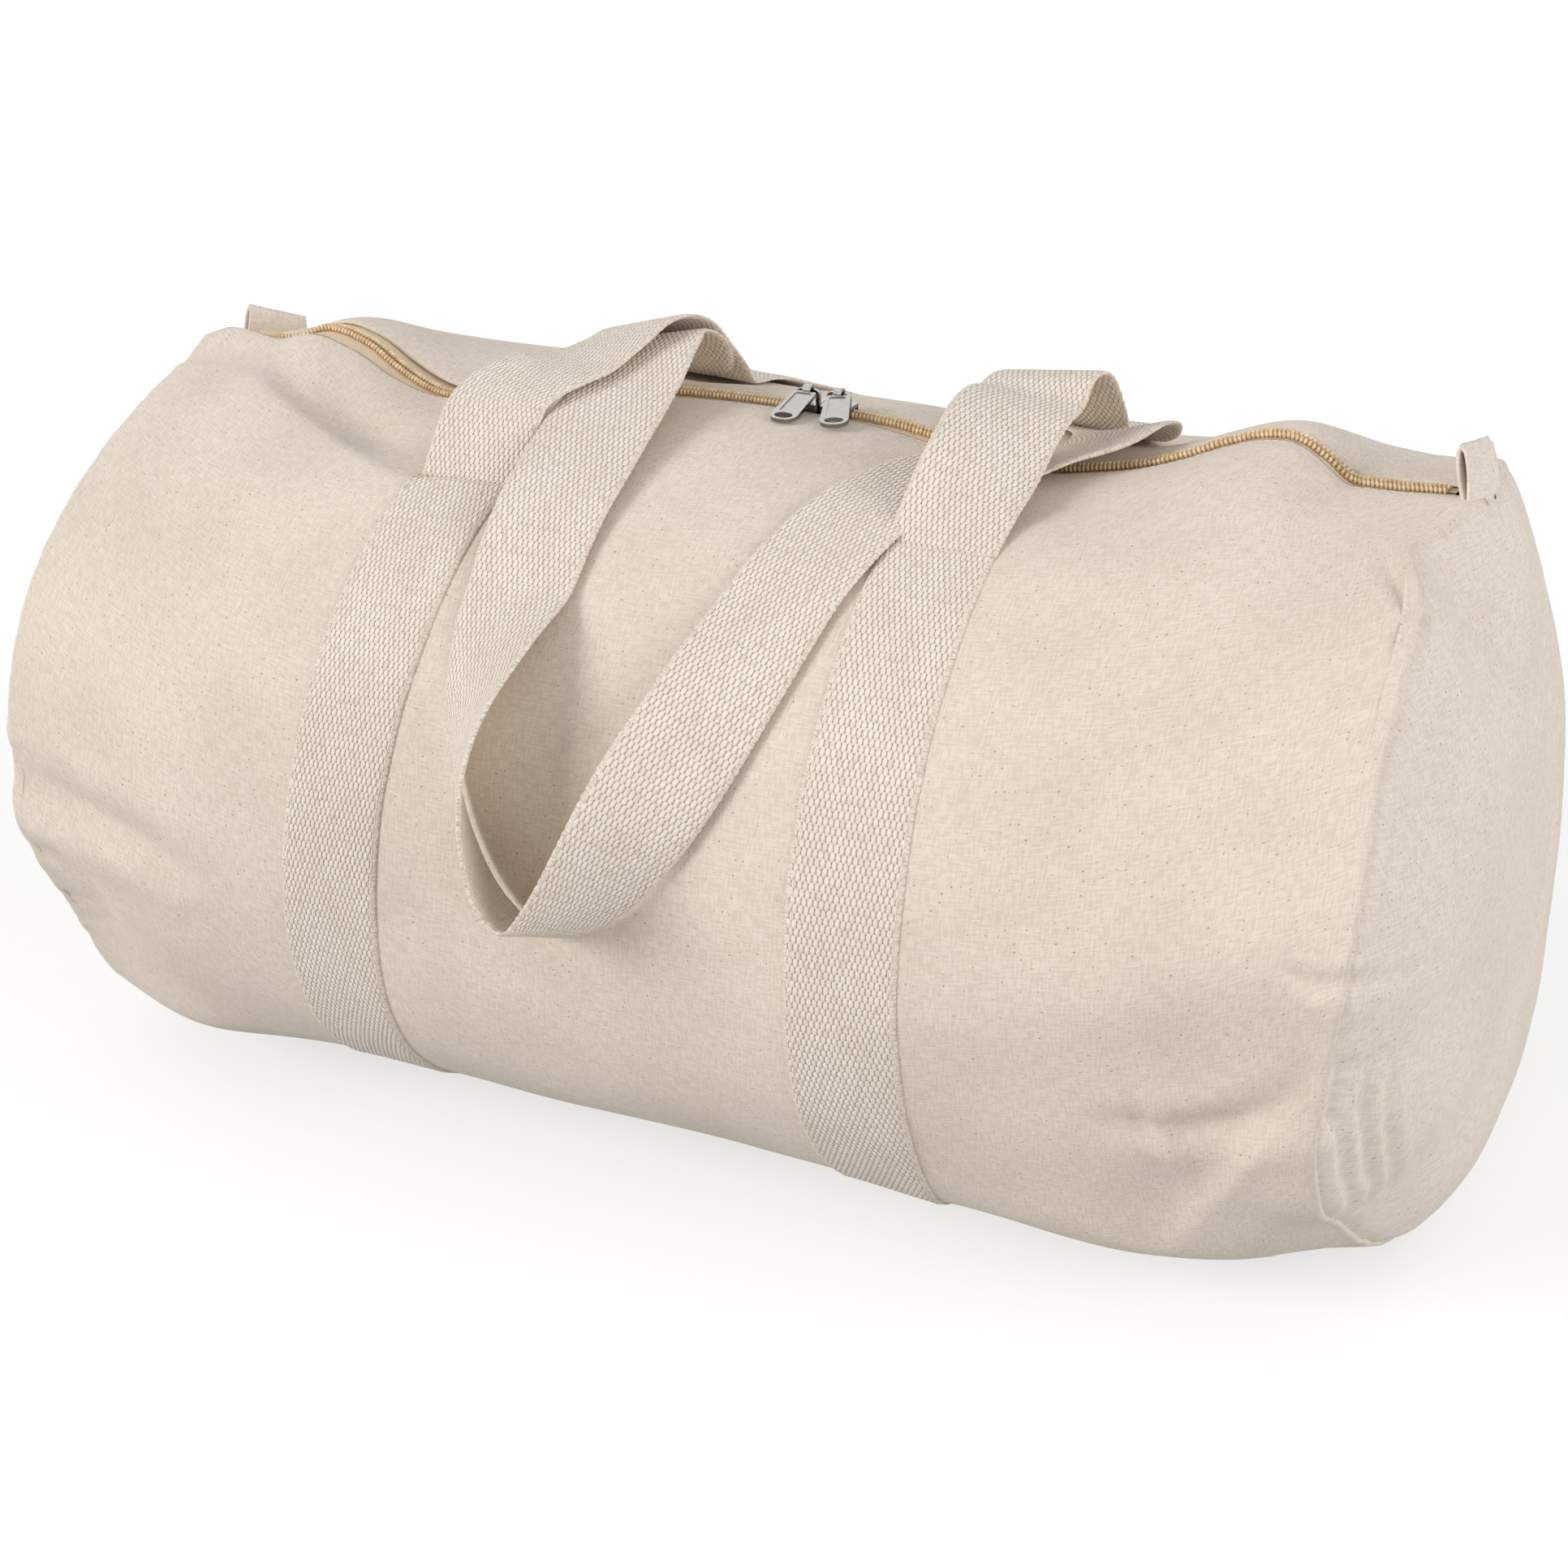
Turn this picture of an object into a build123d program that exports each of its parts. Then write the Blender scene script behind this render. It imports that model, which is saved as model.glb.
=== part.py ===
"""Barrel duffel bag in cotton canvas, zipped shut, with two webbing handles.

Millimetres. +X runs along the bag, -Y is the front, +Z is up. The origin is on the
floor under the middle of the bag, which rests on the undersides of its two bands.
"""
import os
from math import asin, cos, degrees, pi, radians, sin, sqrt

from build123d import *

# ---- driving dimensions ------------------------------------------------------------
BAG_LENGTH = 480.0            # between the two end seams
BAG_WIDTH = 320.0             # stuffed body, front to back
BAG_HEIGHT = 264.0            # stuffed body, underside to top
SIDE_FLAT = 14.0              # straight stretch at half height, between the round corners
CANVAS = 1.1                  # 320 g/m2 canvas
END_DOME = 18.0               # how far an end panel bulges past its seam
END_DOME_RUN = 46.0           # width of the sloping rim of an end panel
END_DOME_ROUND = 90.0         # radius where the rim turns into the flat middle

WEBBING_WIDTH = 38.0
WEBBING = 1.8                 # webbing thickness
HANDLE_STEPS = 3              # steps from one station of a handle to the next
BAND_OFFSET = 94.0            # middle of the bag to the middle of a band
STITCH_REACH = 86.0           # zip to the handles' base stitches, along the canvas

ZIP_OPENING = 14.0            # between the folded canvas edges
HEM = 9.0                     # canvas folded under beside the zip
TAPE_WIDTH = 15.4
TAPE = 0.8
COIL_WIDTH = 2.7
COIL_HEIGHT = 2.4
COIL_GAP = 1.2                # lets a slider's post pass between the closed rows

SLIDER_LENGTH = 11.4
SLIDER_WALL = 1.3
SLIDER_SHOULDER = 0.7         # the wide end's extra half width
POST = 0.7
POST_LENGTH = 3.0
CROWN_LENGTH = 9.0
CROWN_HEIGHT = 4.2
CROWN_BAR = 1.4
CROWN_WIDTH = 1.6
SLIDERS_MEET_X = 18.0         # where the two sliders meet on the closed zip
SLIDER_END_X = 214.0          # furthest place of a slider's middle, either way

PULL_LENGTH = 25.0            # hinge ring's middle to the tip
PULL_WIDTH = 10.4
PULL_NECK = 8.4
PULL = 1.5
PULL_RECESS = 0.4
PULL_RIM = 1.1
EYE_LENGTH = 3.0
EYE_WALL = 0.9
RIGHT_PULL_YAW = 18.0         # degrees that the right pull lies askew

TAB_WIDTH = 28.0
TAB_HEIGHT = 26.0
TAB_LOOP = 9.0                # outside, across the open loop
TAB_WALL = 1.2
TAB_LEAN = 14.0               # degrees outwards

BINDING_WIDTH = 10.0
BINDING = 2.0
THREAD_WIDTH = 0.8
THREAD = 0.35
THREAD_INSET = 2.6            # stitch row to the webbing's edge
TOPSTITCH_INSET = 2.2         # stitch row to the folded canvas edge

# ---- clearances --------------------------------------------------------------------
SEAM_GAP = 0.1                # curved pieces that are sewn to each other
MOVING_GAP = 0.3
SLIDER_GAP = 0.25
EYE_GAP = 0.25
PULL_REST_GAP = 0.35
HANDLE_GAP = 0.9              # a loose handle over the bands and stitches that it crosses

# ---- what follows from them --------------------------------------------------------
CORNER_RADIUS = (BAG_HEIGHT - SIDE_FLAT) / 2
TOP_FLAT = BAG_WIDTH / 2 - CORNER_RADIUS          # half of the flat stretch on top
FLOOR_GAP = SEAM_GAP + WEBBING
MID_Z = FLOOR_GAP + BAG_HEIGHT / 2
TOP_Z = FLOOR_GAP + BAG_HEIGHT
HALF_LENGTH = BAG_LENGTH / 2
BASE_LIFT = MOVING_GAP + WEBBING / 2
HANDLE_BED = FLOOR_GAP + HANDLE_GAP + WEBBING / 2

TAPE_REACH = COIL_GAP / 2 + TAPE_WIDTH
COIL_REACH = COIL_GAP / 2 + COIL_WIDTH
CURVE_IN = max(0.0, TAPE_REACH - TOP_FLAT)
TAPE_DROP = CORNER_RADIUS - sqrt(CORNER_RADIUS**2 - CURVE_IN**2)
TAPE_TOP = TOP_Z - 2 * CANVAS - SEAM_GAP - TAPE_DROP
TAPE_BOTTOM = TAPE_TOP - TAPE
COIL_TOP = TAPE_TOP + COIL_HEIGHT

PLATE_BOTTOM = COIL_TOP + SLIDER_GAP
PLATE_TOP = PLATE_BOTTOM + SLIDER_WALL
KEEL_TOP = TAPE_BOTTOM - MOVING_GAP
KEEL_BOTTOM = KEEL_TOP - SLIDER_WALL
SLIDER_INSIDE = COIL_REACH + SLIDER_GAP
SLIDER_HALF = SLIDER_INSIDE + SLIDER_WALL
SLIDER_PITCH = SLIDER_LENGTH + MOVING_GAP
PIVOT_Z = PLATE_TOP + CROWN_HEIGHT - CROWN_BAR / 2
EYE_INSIDE = sqrt(CROWN_BAR**2 + CROWN_WIDTH**2) / 2 + EYE_GAP
EYE_OUTSIDE = EYE_INSIDE + EYE_WALL
PULL_DROP = PIVOT_Z - TOP_Z - PULL / 2 - PULL_REST_GAP
PULL_SLOPE = degrees(asin(PULL_DROP / PULL_LENGTH))


# ---- the body's outline ------------------------------------------------------------
def section(lift):
    """The bag's rounded cross-section, grown by lift."""
    return RectangleRounded(
        BAG_WIDTH + 2 * lift, BAG_HEIGHT + 2 * lift, CORNER_RADIUS + lift
    )


def across(x, shape):
    """Stand a flat shape, drawn about the bag's middle, across the bag at x."""
    return Plane.YZ.offset(x) * Pos(0, MID_Z) * shape


def hoop(start, end, inner, outer):
    """A ring round the body between two lifts, from x=start to x=end."""
    return extrude(across(start, section(outer) - section(inner)), end - start)


def on_canvas(reach, lift):
    """(y, z, ny, nz) at a reach along the canvas from the zip, negative to the front."""
    side = 1 if reach >= 0 else -1
    run = abs(reach)
    quarter = CORNER_RADIUS * pi / 2
    if run <= TOP_FLAT:
        y, z, turn = run, TOP_Z, 0.0
    elif run <= TOP_FLAT + quarter:
        turn = (run - TOP_FLAT) / CORNER_RADIUS
        y = TOP_FLAT + CORNER_RADIUS * sin(turn)
        z = TOP_Z - CORNER_RADIUS + CORNER_RADIUS * cos(turn)
    else:
        y, z, turn = BAG_WIDTH / 2, TOP_Z - CORNER_RADIUS - (run - TOP_FLAT - quarter), pi / 2
        low = z - (MID_Z - SIDE_FLAT / 2)
        if low < 0:
            turn += -low / CORNER_RADIUS
            y = TOP_FLAT + CORNER_RADIUS * sin(turn)
            z = MID_Z - SIDE_FLAT / 2 + CORNER_RADIUS * cos(turn)
    ny, nz = side * sin(turn), cos(turn)
    return side * y + lift * ny, z + lift * nz, ny, nz


# ---- canvas ------------------------------------------------------------------------
def main_panel():
    """One canvas panel wrapped round the body, its long edges folded under at the zip."""
    wall = hoop(-HALF_LENGTH, HALF_LENGTH, -CANVAS, 0)
    hem_reach = ZIP_OPENING / 2 + HEM
    folded = hoop(-HALF_LENGTH, HALF_LENGTH, -2 * CANVAS, -CANVAS)
    hem_zone = Pos(0, 0, TOP_Z) * Box(BAG_LENGTH, 2 * hem_reach, BAG_HEIGHT / 2)
    slot = Pos(0, 0, TOP_Z) * Box(BAG_LENGTH + 2, ZIP_OPENING, BAG_HEIGHT / 2)
    return (wall + (folded & hem_zone)) - slot


def end_panel(side):
    """A domed end of the bag, sewn to the main panel at the end seam."""
    seam_x = HALF_LENGTH + SEAM_GAP
    rim = across(seam_x, section(0))
    middle = across(seam_x + END_DOME, section(-END_DOME_RUN))
    dome = loft([rim, middle], ruled=True)
    shoulder = dome.faces().sort_by(Axis.X)[-1].edges()
    dome = fillet(shoulder, END_DOME_ROUND)
    panel = dome - Pos(-CANVAS, 0, 0) * dome
    return panel if side > 0 else mirror(panel, about=Plane.YZ)


def seam_binding(side):
    """Cotton tape bound over the raw edges, inside the end seam and open at the zip."""
    outer = -CANVAS - SEAM_GAP
    ring = hoop(HALF_LENGTH - BINDING_WIDTH, HALF_LENGTH, outer - BINDING, outer)
    zip_room = 2 * (max(TAPE_REACH, ZIP_OPENING / 2 + HEM) + MOVING_GAP)
    ring -= Pos(HALF_LENGTH, 0, TOP_Z) * Box(4 * BINDING_WIDTH, zip_room, BAG_HEIGHT / 2)
    return ring if side > 0 else mirror(ring, about=Plane.YZ)


def tab_loop(side):
    """A folded canvas strip standing on the end seam, open across the bag."""
    loop = Ellipse(TAB_LOOP / 2, TAB_HEIGHT / 2)
    loop -= Ellipse(TAB_LOOP / 2 - TAB_WALL, TAB_HEIGHT / 2 - TAB_WALL)
    strip = extrude(Plane.XZ * loop, TAB_WIDTH / 2, both=True)
    foot = max(TOP_Z, COIL_TOP) + SEAM_GAP
    # a leaning ellipse reaches this far below its middle
    low = sqrt(
        (TAB_LOOP / 2 * sin(radians(TAB_LEAN))) ** 2
        + (TAB_HEIGHT / 2 * cos(radians(TAB_LEAN))) ** 2
    )
    lean_run = TAB_HEIGHT / 2 * sin(radians(TAB_LEAN))
    return Pos(side * (HALF_LENGTH + lean_run), 0, foot + low) * Rot(Y=side * TAB_LEAN) * strip


# ---- webbing -----------------------------------------------------------------------
def above_stitches(reach):
    """A wedge over the top of the body, between the reaches on its two sides."""
    turn = (reach - TOP_FLAT) / CORNER_RADIUS
    far = 2 * BAG_HEIGHT
    hub = BAG_HEIGHT / 2 - CORNER_RADIUS
    side, rise = TOP_FLAT + far * sin(turn), hub + far * cos(turn)
    wedge = make_face(
        Polyline(
            (-TOP_FLAT, hub), (-side, rise), (0, hub + 2 * far),
            (side, rise), (TOP_FLAT, hub), close=True,
        )
    )
    return extrude(across(-HALF_LENGTH, wedge), BAG_LENGTH)


def band(x):
    """Webbing sewn round the body, from the front base stitches under it to the back ones."""
    half = WEBBING_WIDTH / 2
    ring = hoop(x - half, x + half, SEAM_GAP, FLOOR_GAP)
    return ring - above_stitches(STITCH_REACH + MOVING_GAP)


def band_stitching(x):
    """Two rows of thread along a band, left out where they are pressed under the bag."""
    rows = []
    for edge in (-1, 1):
        middle = x + edge * (WEBBING_WIDTH / 2 - THREAD_INSET)
        row = hoop(middle - THREAD_WIDTH / 2, middle + THREAD_WIDTH / 2,
                   FLOOR_GAP + SEAM_GAP / 2, FLOOR_GAP + SEAM_GAP / 2 + THREAD)
        row -= above_stitches(STITCH_REACH + THREAD_INSET)
        row -= Box(BAG_LENGTH, BAG_WIDTH, 2 * (CORNER_RADIUS / 4))
        rows += row.solids()
    return Compound(rows)


def eased(stations):
    """The stations, with HANDLE_STEPS - 1 more laid smoothly between each two."""
    last = len(stations) - 1
    route = []
    for i in range(last):
        four = [stations[min(max(k, 0), last)] for k in (i - 1, i, i + 1, i + 2)]
        for step in range(HANDLE_STEPS):
            t = step / HANDLE_STEPS
            route.append([
                0.5 * (2 * b + (c - a) * t + (2 * a - 5 * b + 4 * c - d) * t**2
                       + (3 * b - a - 3 * c + d) * t**3)
                for a, b, c, d in zip(*four)
            ])
    return route + [list(stations[last])]


def aside(place):
    """x for a place between the bands: 0 the middle, 1 just clear of a band, 2 on it."""
    clear = BAND_OFFSET - WEBBING_WIDTH
    x = clear * min(abs(place), 1) + WEBBING_WIDTH * max(abs(place) - 1, 0)
    return x if place > 0 else -x


def ribbon(stations):
    """Webbing laid through stations of (place, reach, rise, roll), sewn down at both ends.

    reach runs along the canvas from the zip. roll turns the webbing up on its edge, and
    rise is how far it then stands off its bed, as a share of its width.
    """
    route = eased([(aside(place), *rest) for place, *rest in stations])
    last = len(route) - 1
    points, normals = [], []
    for i, (x, reach, rise, roll) in enumerate(route):
        edge_on = WEBBING_WIDTH / 2 * sin(radians(abs(roll)))
        sewn = min(i, last - i) / (2 * HANDLE_STEPS)
        bed = HANDLE_BED if sewn >= 1 else BASE_LIFT + (HANDLE_BED - BASE_LIFT) * sewn
        y, z, ny, nz = on_canvas(reach, bed + edge_on + rise * WEBBING_WIDTH)
        points.append(Vector(x, y, z))
        normals.append(Vector(0, ny, nz))
    sections = []
    for i, station in enumerate(route):
        along = points[min(i + 1, last)] - points[max(i - 1, 0)]
        if i in (0, last):
            # the base leaves its stitches square to them, along the canvas
            square = Vector(1, 0, 0).cross(normals[i])
            along = square if square.dot(along) > 0 else square * -1
        along = along.normalized()
        wide = along.cross(normals[i]).normalized()
        up = wide.cross(along)
        roll = radians(station[3])
        plane = Plane(points[i], x_dir=wide * cos(roll) + up * sin(roll), z_dir=along)
        sections.append(plane * Rectangle(WEBBING_WIDTH, WEBBING))
    return loft(sections, ruled=True)


# from the right back stitches, over the zip, down the front, and up to the left back ones
BACK_HANDLE = [
    (2.00, STITCH_REACH, 0, 0), (2.05, 74, 0.01, 0), (2.45, 58, 0.04, 0),
    (3.04, 34, 0.08, 0), (3.06, 6, 0.08, 0), (2.59, -16, 0.08, 0), (1.95, -34, 0.05, 0),
    (1.26, -56, 0.02, 0), (0.89, -82, 0, 0), (0.76, -112, 0, 0), (0.64, -142, 0, 8),
    (0.52, -172, 0, 20), (0.37, -200, 0, 38), (0.17, -226, 0, 56), (-0.17, -240, 0, 64),
    (-0.54, -230, 0, 60), (-0.77, -206, 0, 48), (-0.86, -178, 0, 30), (-0.84, -148, 0, 12),
    (-0.79, -118, 0, 4), (-0.74, -88, 0.01, 0), (-0.70, -58, 0.09, 0),
    (-0.72, -30, 0.26, 0), (-0.84, -4, 0.39, 0), (-1.16, 20, 0.36, 0), (-1.65, 44, 0.18, 0),
    (-1.95, 68, 0.02, 0), (-2.00, STITCH_REACH, 0, 0),
]
# from the left front stitches, over the back handle, down the back, and up again
FRONT_HANDLE = [
    (-2.00, -STITCH_REACH, 0, 0), (-1.98, -70, 0.07, 0), (-1.80, -49, 0.33, 0),
    (-1.41, -28, 0.55, 0), (-0.91, -6, 0.64, 0), (-0.57, 20, 0.64, 0), (-0.34, 48, 0.50, 0),
    (-0.17, 78, 0.28, 0), (0.00, 108, 0.11, 0), (0.17, 138, 0.03, 6), (0.34, 168, 0, 20),
    (0.50, 198, 0, 42), (0.74, 224, 0, 58), (1.06, 238, 0, 64), (1.51, 226, 0, 58),
    (1.75, 200, 0, 42), (1.88, 170, 0, 20), (1.93, 140, 0.03, 6), (1.95, 110, 0.11, 0),
    (1.98, 80, 0.28, 0), (2.00, 50, 0.50, 0), (2.00, 20, 0.68, 0), (2.00, -8, 0.72, 0),
    (2.00, -34, 0.59, 0), (2.00, -56, 0.37, 0), (2.00, -72, 0.16, 0),
    (2.00, -STITCH_REACH, 0, 0),
]


def base_stitching():
    """The four rows of thread across the webbing, where band turns into free handle."""
    lines = []
    start = STITCH_REACH + 2 * MOVING_GAP
    for x in (-BAND_OFFSET, BAND_OFFSET):
        half = WEBBING_WIDTH / 2 - THREAD_INSET / 2
        row = hoop(x - half, x + half, FLOOR_GAP + SEAM_GAP / 2,
                   FLOOR_GAP + SEAM_GAP / 2 + THREAD)
        row = row & above_stitches(start + THREAD_WIDTH)
        row = row - above_stitches(start)
        lines += row.solids()
    return Compound(lines)


# ---- zip ---------------------------------------------------------------------------
def zip_tape(side):
    middle = side * (COIL_GAP / 2 + TAPE_WIDTH / 2)
    return Pos(0, middle, (TAPE_TOP + TAPE_BOTTOM) / 2) * Box(BAG_LENGTH, TAPE_WIDTH, TAPE)


def zip_coil(side):
    """One closed row of the nylon coil, as a bar with a rounded top."""
    middle = side * (COIL_GAP / 2 + COIL_WIDTH / 2)
    bar = Pos(0, middle, TAPE_TOP + COIL_HEIGHT / 2) * Box(BAG_LENGTH, COIL_WIDTH, COIL_HEIGHT)
    top = bar.faces().sort_by(Axis.Z)[-1].edges().filter_by(Axis.X)
    return fillet(top, COIL_WIDTH / 3)


def topstitching():
    """The rows of thread that hold the folded canvas down on the zip tape."""
    place = ZIP_OPENING / 2 + TOPSTITCH_INSET
    low = TOP_Z + SEAM_GAP / 2
    rows = []
    for side in (-1, 1):
        row = Box(BAG_LENGTH - 2 * BINDING_WIDTH, THREAD_WIDTH, THREAD)
        rows.append(Pos(0, side * place, low + THREAD / 2) * row)
    return Compound(rows)


def slider(x, wide_end):
    """A slider's casting: plate, keel, post between the rows, side flanges and crown."""
    nose = wide_end * SLIDER_LENGTH / 2
    broad = SLIDER_HALF + SLIDER_SHOULDER
    plan = make_face(
        Polyline(
            (-nose, -SLIDER_HALF), (0, -SLIDER_HALF), (nose, -broad),
            (nose, broad), (0, SLIDER_HALF), (-nose, SLIDER_HALF), close=True,
        )
    )
    plan = fillet(plan.vertices(), SLIDER_WALL)
    plate = extrude(Plane.XY.offset(PLATE_BOTTOM) * plan, SLIDER_WALL)
    keel = extrude(Plane.XY.offset(KEEL_BOTTOM) * plan, SLIDER_WALL)
    skirt_low = TAPE_TOP + MOVING_GAP
    skirt = extrude(Plane.XY.offset(skirt_low) * plan, PLATE_BOTTOM - skirt_low)
    channel = Pos(0, 0, skirt_low) * Box(2 * SLIDER_LENGTH, 2 * SLIDER_INSIDE, 4 * COIL_HEIGHT)
    skirt -= channel
    post_x = wide_end * (SLIDER_LENGTH / 2 - POST_LENGTH / 2 - SLIDER_GAP)
    post_mid = (KEEL_TOP + PLATE_BOTTOM) / 2
    post = Pos(post_x, 0, post_mid) * Box(POST_LENGTH, POST, PLATE_BOTTOM - KEEL_TOP + SLIDER_WALL)
    arch = RectangleRounded(CROWN_LENGTH, 2 * CROWN_HEIGHT, CROWN_HEIGHT / 2)
    window = RectangleRounded(
        CROWN_LENGTH - 2 * CROWN_BAR, 2 * (CROWN_HEIGHT - CROWN_BAR), CROWN_HEIGHT / 2 - CROWN_BAR / 2
    )
    crown = extrude(Plane.XZ * (arch - window), CROWN_WIDTH / 2, both=True)
    crown = crown & (Pos(0, 0, CROWN_HEIGHT) * Box(CROWN_LENGTH, CROWN_WIDTH, 2 * CROWN_HEIGHT))
    crown = Pos(0, 0, PLATE_TOP) * crown
    return Pos(x, 0, 0) * (plate + keel + skirt + post + crown)


def pull(x, yaw):
    """A pull tab: hinge eye round the crown's bar, recessed plate, hole near the tip.

    It is drawn flat, pointing along -Y from the eye, and then laid down on the canvas.
    """
    start = EYE_OUTSIDE + SLIDER_GAP
    plan = make_face(
        Polyline(
            (-PULL_NECK / 2, -start), (-PULL_WIDTH / 2, -PULL_LENGTH),
            (PULL_WIDTH / 2, -PULL_LENGTH), (PULL_NECK / 2, -start), close=True,
        )
    )
    tip = plan.vertices().sort_by(Axis.Y)[:2]
    plan = fillet(tip, PULL_WIDTH / 2 - PULL_RIM)
    plan = fillet(plan.vertices().sort_by(Axis.Y)[-2:], PULL_RIM)
    plate = extrude(plan, PULL / 2, both=True)
    hole_y = -PULL_LENGTH + PULL_RIM + PULL_WIDTH / 5
    hole = Pos(0, hole_y) * Ellipse(PULL_WIDTH / 2 - 1.7 * PULL_RIM, PULL_WIDTH / 5)
    plate -= extrude(hole, PULL, both=True)
    recess_end = hole_y + PULL_WIDTH / 5 + PULL_RIM
    recess_length = -start - PULL_RIM - recess_end
    recess_plan = Pos(0, recess_end + recess_length / 2) * RectangleRounded(
        PULL_NECK - 2 * PULL_RIM, recess_length, PULL_RIM / 2
    )
    for face in (-1, 1):
        level = face * (PULL / 2 - PULL_RECESS / 2)
        plate -= Pos(0, 0, level) * extrude(recess_plan, PULL_RECESS / 2, both=True)
    tongue = Pos(0, -(start + EYE_INSIDE) / 2 - EYE_WALL / 4, 0) * Box(
        EYE_LENGTH, start - EYE_INSIDE + EYE_WALL, PULL
    )
    plate = Rot(Z=yaw) * plate
    eye = extrude(Plane.YZ * Circle(EYE_OUTSIDE), EYE_LENGTH / 2, both=True)
    bore = extrude(Plane.YZ * Circle(EYE_INSIDE), EYE_LENGTH, both=True)
    body = (plate + tongue + eye) - bore
    return Pos(x, 0, PIVOT_Z) * Rot(X=PULL_SLOPE) * body


# ---- build -------------------------------------------------------------------------
LEFT_SLIDER_X = SLIDERS_MEET_X - SLIDER_PITCH / 2
RIGHT_SLIDER_X = SLIDERS_MEET_X + SLIDER_PITCH / 2

NODES = {
    "main_panel": main_panel(),
    "left_end_panel": end_panel(-1),
    "right_end_panel": end_panel(1),
    "left_seam_binding": seam_binding(-1),
    "right_seam_binding": seam_binding(1),
    "left_tab_loop": tab_loop(-1),
    "right_tab_loop": tab_loop(1),
    "left_band": band(-BAND_OFFSET),
    "right_band": band(BAND_OFFSET),
    "left_band_stitching": band_stitching(-BAND_OFFSET),
    "right_band_stitching": band_stitching(BAND_OFFSET),
    "handle_base_stitching": base_stitching(),
    "front_handle": ribbon(FRONT_HANDLE),
    "back_handle": ribbon(BACK_HANDLE),
    "zip_tape_front": zip_tape(-1),
    "zip_tape_back": zip_tape(1),
    "zip_coil_front": zip_coil(-1),
    "zip_coil_back": zip_coil(1),
    "zip_topstitching": topstitching(),
    "left_slider_body": slider(LEFT_SLIDER_X, 1),
    "right_slider_body": slider(RIGHT_SLIDER_X, -1),
    "left_pull": pull(LEFT_SLIDER_X, 0),
    "right_pull": pull(RIGHT_SLIDER_X, RIGHT_PULL_YAW),
}

os.makedirs("parts", exist_ok=True)
for name, shape in NODES.items():
    export_step(shape, f"parts/{name}.step")

stitch_y, stitch_z, _, _ = on_canvas(STITCH_REACH, BASE_LIFT)
print(f"handle hinges: y = -/+{stitch_y:.3f}, z = {stitch_z:.3f}")
print(f"pull hinges: z = {PIVOT_Z:.3f}, rest slope = {PULL_SLOPE:.2f} degrees")
print(f"sliders: x = {LEFT_SLIDER_X:.3f} and {RIGHT_SLIDER_X:.3f}, to -/+{SLIDER_END_X}")
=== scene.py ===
"""A stuffed canvas barrel bag with a two-way zip, webbing bands and crossed handles."""

import math

import bmesh
import bpy
import numpy as np
from mathutils import Euler, Matrix, Vector


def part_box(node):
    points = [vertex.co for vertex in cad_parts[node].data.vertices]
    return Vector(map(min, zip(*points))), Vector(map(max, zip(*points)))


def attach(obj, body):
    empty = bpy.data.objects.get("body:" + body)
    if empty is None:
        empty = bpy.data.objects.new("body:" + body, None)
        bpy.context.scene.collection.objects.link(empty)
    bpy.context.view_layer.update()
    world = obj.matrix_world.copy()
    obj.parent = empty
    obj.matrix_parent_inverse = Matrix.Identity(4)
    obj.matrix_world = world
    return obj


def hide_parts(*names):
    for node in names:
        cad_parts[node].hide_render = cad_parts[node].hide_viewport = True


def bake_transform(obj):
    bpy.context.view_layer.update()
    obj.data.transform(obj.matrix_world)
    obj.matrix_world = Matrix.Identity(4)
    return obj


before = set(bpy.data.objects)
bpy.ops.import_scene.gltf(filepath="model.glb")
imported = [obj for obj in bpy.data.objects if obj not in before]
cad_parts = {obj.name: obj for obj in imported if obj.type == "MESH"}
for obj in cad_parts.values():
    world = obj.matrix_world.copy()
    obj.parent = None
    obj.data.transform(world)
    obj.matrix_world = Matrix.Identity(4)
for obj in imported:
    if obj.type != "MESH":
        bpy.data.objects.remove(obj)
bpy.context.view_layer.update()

# ---- sizes, in metres ----------------------------------------------------------------
panel_low, panel_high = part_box("main_panel")
band_low, band_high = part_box("left_band")
tape_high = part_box("zip_tape_front")[1]
coil_low, coil_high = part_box("zip_coil_front")

CANVAS = 0.0011
WEBBING = 0.0018
PRESSED = 0.0006                             # how far the bands sink into the canvas
WEBBING_WIDTH = band_high.x - band_low.x
FLOOR_GAP = panel_low.z                      # the bands lie between canvas and floor
BAND_X = -(band_low.x + band_high.x) / 2     # each band's place, either side of the middle

# the stuffing pushes the canvas a little past the CAD panel, and more at the right
HALF_LENGTH = (panel_high.x - panel_low.x) / 2 + 0.0039
HALF_DEPTH = (panel_high.y - panel_low.y) / 2 + 0.0021
HALF_HEIGHT = (panel_high.z - panel_low.z) / 2 + 0.0035
MIDDLE_X = 0.0076                            # the stuffed body's middle, right of the CAD one
MIDDLE_Z = FLOOR_GAP + HALF_HEIGHT * 0.97
DOME = 0.0255                                # how far the ends bulge

ZIP_TOP = panel_high.z
BASE_REACH = 0.086                           # from the zip, round the bag, to the handles' feet
STITCH = 0.0034                              # from one stitch to the next along the bands
# each band's place along the bag at mid height, and how far it leans for its height
BAND_PLACES = {-1: (-0.0938, 0.107), 1: (0.0937, 0.009)}


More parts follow.
